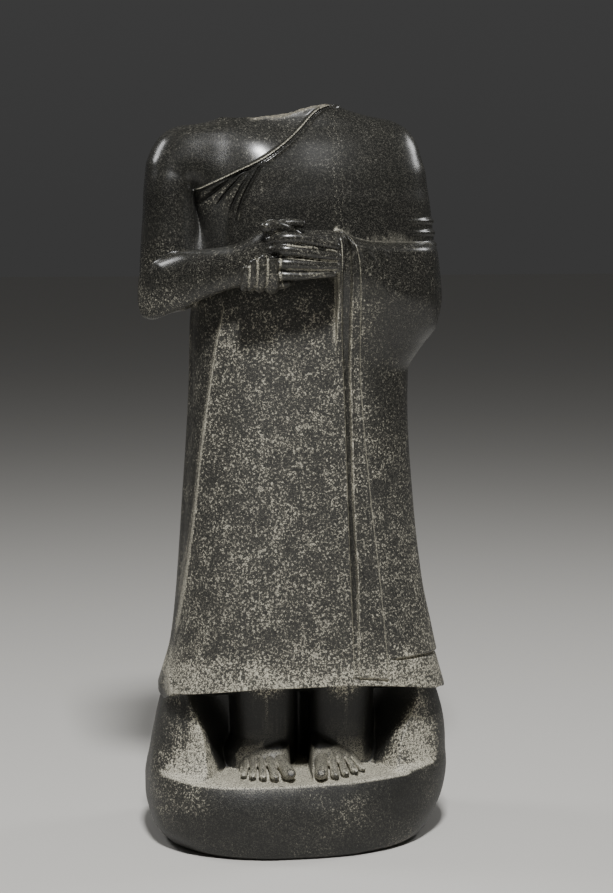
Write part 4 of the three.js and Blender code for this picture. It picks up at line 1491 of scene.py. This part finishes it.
        # Front faces of the toes low on the ledge lose crust: painted shade under the tips.
        toes = toes + 0.5 * soft_step(-self.lie.normals[:, 1], 0.6, 0.85) * soft_step(z, 133, 129)
        return crust - self.feet * toes

    def _chalk(self) -> Array:
        """Pale dust in the grooves and between the toes, paler convex edges (rubbed wear with painted
        highlight), and paler up-facing faces of the ledge.
        """
        _, y, z = self.points.T
        ledge = self.base * self.lie.up * soft_step(z, 135, 129) * (z > 110) * (1 - self.niche)
        shut = np.clip(1.5 * self.lie.hidden - 0.2, 0, 1)
        gaps = self.feet * np.maximum(shut, soft_step(z, 134.5, 131.5) * self.lie.up)
        chalk = 0.5 * self.lines * (1 - self.hands) + 0.4 * self.worn_and_lit_edges + 0.9 * ledge + gaps
        return chalk * soft_step(y, -8, -20)

    def _raw(self, height: Array) -> Array:
        """Coarse broken stone on the neck."""
        x, y, z = self.points.T
        return bump(z - height, 2.5) * plateau(x, -88, -66, 48, 62) * (np.abs(y) < 90) * (
            self.lie.normals[:, 2] > 0.3)

    def _dull(self) -> Array:
        """Duller stone on the bare side of the chest."""
        x, _, z = self.points.T
        return 0.92 * bump(x + 146, 40) * bump(z - 1142, 46) * self.front


@dataclass
class Statue:
    """The whole statue: one piece of stone."""

    pitch: float = 1.3
    quick_pitch: float = 3.0
    faces: int = 190_000
    low: tuple[float, float, float] = (-266, -196, -6)
    high: tuple[float, float, float] = (266, 196, 1230)
    finish: DioriteFinish = DioriteFinish()

    def build(self) -> bpy.types.Object:
        """Carves the stone and turns it into one mesh.

        Returns:
            The finished object, in metres.
        """
        stone = self.finish.build()
        pitch = self.pitch
        block = Block(self.low, self.high, pitch)
        carving = Carving(block)
        block.carve(carving.depth, 6.0 * pitch + 16.0)
        log.info("measured the robe and the base on %s", block.values.shape)
        BareArm().build(block)
        Hands().build(block, stone)
        Feet().build(block, stone)
        ElbowFolds().build(block, carving.figure, stone)
        points, quads = block.skin()
        log.info("took a skin of %d faces", len(quads))
        mesh = bpy.data.meshes.new("statue_skin")
        mesh.vertices.add(len(points))
        mesh.vertices.foreach_set("co", (points * MM).astype(np.float32).ravel())
        mesh.loops.add(len(quads) * 4)
        mesh.loops.foreach_set("vertex_index", quads.astype(np.int32).ravel())
        mesh.polygons.add(len(quads))
        mesh.polygons.foreach_set("loop_start", np.arange(0, len(quads) * 4, 4, dtype=np.int32))
        mesh.update(calc_edges=True)
        piece = new_object("statue_stone", mesh)
        self._thin(piece, 2 * len(quads))
        self._grade(piece, carving)
        piece.data.materials.append(stone)
        return piece

    def _thin(self, piece: bpy.types.Object, triangles: int) -> None:
        """Thins the mesh where it is flat.

        Args:
            piece: The object.
            triangles: How many triangles it has.
        """
        modifier = piece.modifiers.new("thin", "DECIMATE")
        modifier.ratio = min(1.0, self.faces / triangles)
        modifier.use_collapse_triangulate = True
        piece.data = mesh = applied(piece, modifier)
        mesh.polygons.foreach_set("use_smooth", np.ones(len(mesh.polygons), bool))
        log.info("thinned it to %d triangles", len(mesh.polygons))

    def _grade(self, piece: bpy.types.Object, carving: Carving) -> None:
        """Marks how worn the stone is at each point, with painted shade and highlights, and how far it is
        from the long edges of the cloth.

        Args:
            piece: The object.
            carving: The carving that it was taken from.
        """
        points = points_of(piece.data)
        x, y, z = points.T
        front = soft_step(y, -8, -20) * (z > 262)
        edges = carving.cloth.edges(x, z, front)
        recess = edges.pop("recess")
        edges["gaps"] = np.where((y < -150) & (z > 915), edges["gaps"], carving.cloth.far)
        wear = Wear.of(points, Lie.of(carving.block, points), front, edges["wrap"], recess)
        layers = wear.layers(carving.cloth.fan_crust_and_shade(x, z), carving.break_height(points))
        for name, values in (edges | {layer.value: share for layer, share in layers.items()}).items():
            attribute = piece.data.attributes.new(name, "FLOAT", "POINT")
            attribute.data.foreach_set("value", values.astype(np.float32))


@dataclass
class Studio:
    """Plain pale floor, soft lights and the camera."""

    eye: tuple[float, float, float] = (-0.59304, -3.24987, 1.040)
    ahead: tuple[float, float, float] = (0.18478649, 0.97590958, -0.11599326)
    lens: float = 80.45
    sensor: float = 36
    middle: tuple[float, float, float] = (0, 0, 0.75)
    horizon: float = 0.046
    zenith: float = 0.085

    def build(self) -> None:
        """Sets up the stage."""
        bpy.ops.mesh.primitive_plane_add(size=60)
        floor = bpy.context.object
        floor.name = "floor"
        floor.data.materials.append(FloorFinish().build())
        world = bpy.context.scene.world or bpy.data.worlds.new("studio")
        bpy.context.scene.world = world
        world.use_nodes = True
        self._sky(world.node_tree)
        self._light("key", (-0.25, -2.25, 3.85), 0.5, 225)
        self._light("left_rim", (-2.1, 0.9, 2.6), 0.7, 22)
        self._light("right_rim", (2.5, 0.55, 2.4), 0.7, 20)
        camera = new_object("camera", bpy.data.cameras.new("camera"))
        camera.data.sensor_fit = "VERTICAL"
        camera.data.sensor_height = self.sensor
        camera.data.lens = self.lens
        camera.location = self.eye
        camera.rotation_euler = Vector(self.ahead).to_track_quat("-Z", "Y").to_euler()
        bpy.context.scene.camera = camera

    def _sky(self, tree: Tree) -> None:
        """Soft even surround, a little brighter overhead, that the far floor fades into."""
        way = add_node(tree, "ShaderNodeTexCoord")
        parts = add_node(tree, "ShaderNodeSeparateXYZ", links={"Vector": way.outputs["Generated"]})
        height = add_node(tree, "ShaderNodeClamp", links={"Value": parts.outputs["Z"]})
        level = add_node(tree, "ShaderNodeMapRange", {"To Min": self.horizon, "To Max": self.zenith},
                         {"Value": height.outputs["Result"]})
        tree.links.new(level.outputs["Result"], tree.nodes["Background"].inputs["Strength"])
        tree.nodes["Background"].inputs["Color"].default_value = linear("#ffffff")

    def _light(self, name: str, place: tuple[float, float, float], width: float, watts: float) -> None:
        """Adds a soft square light that faces the middle of the statue.

        Args:
            name: Name of the light.
            place: Where it hangs, in metres.
            width: Its width and height.
            watts: Its power.
        """
        data = bpy.data.lights.new(name, "AREA")
        data.shape = "RECTANGLE"
        data.size, data.size_y, data.energy = width, width, watts
        lamp = new_object(name, data)
        lamp.location = place
        lamp.rotation_euler = (Vector(self.middle) - Vector(place)).to_track_quat("-Z", "Y").to_euler()


def main() -> None:
    """Builds the statue and the studio, and reports each piece."""
    logging.basicConfig(level=logging.INFO, format="%(asctime)s %(message)s", stream=sys.stdout)
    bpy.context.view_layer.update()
    statue = Statue().build()
    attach(statue, "root")
    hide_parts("statue")
    log.info("statue: %d triangles", len(statue.data.polygons))
    Studio().build()
    log.info("studio is set")


if __name__ == "__main__":
    main()
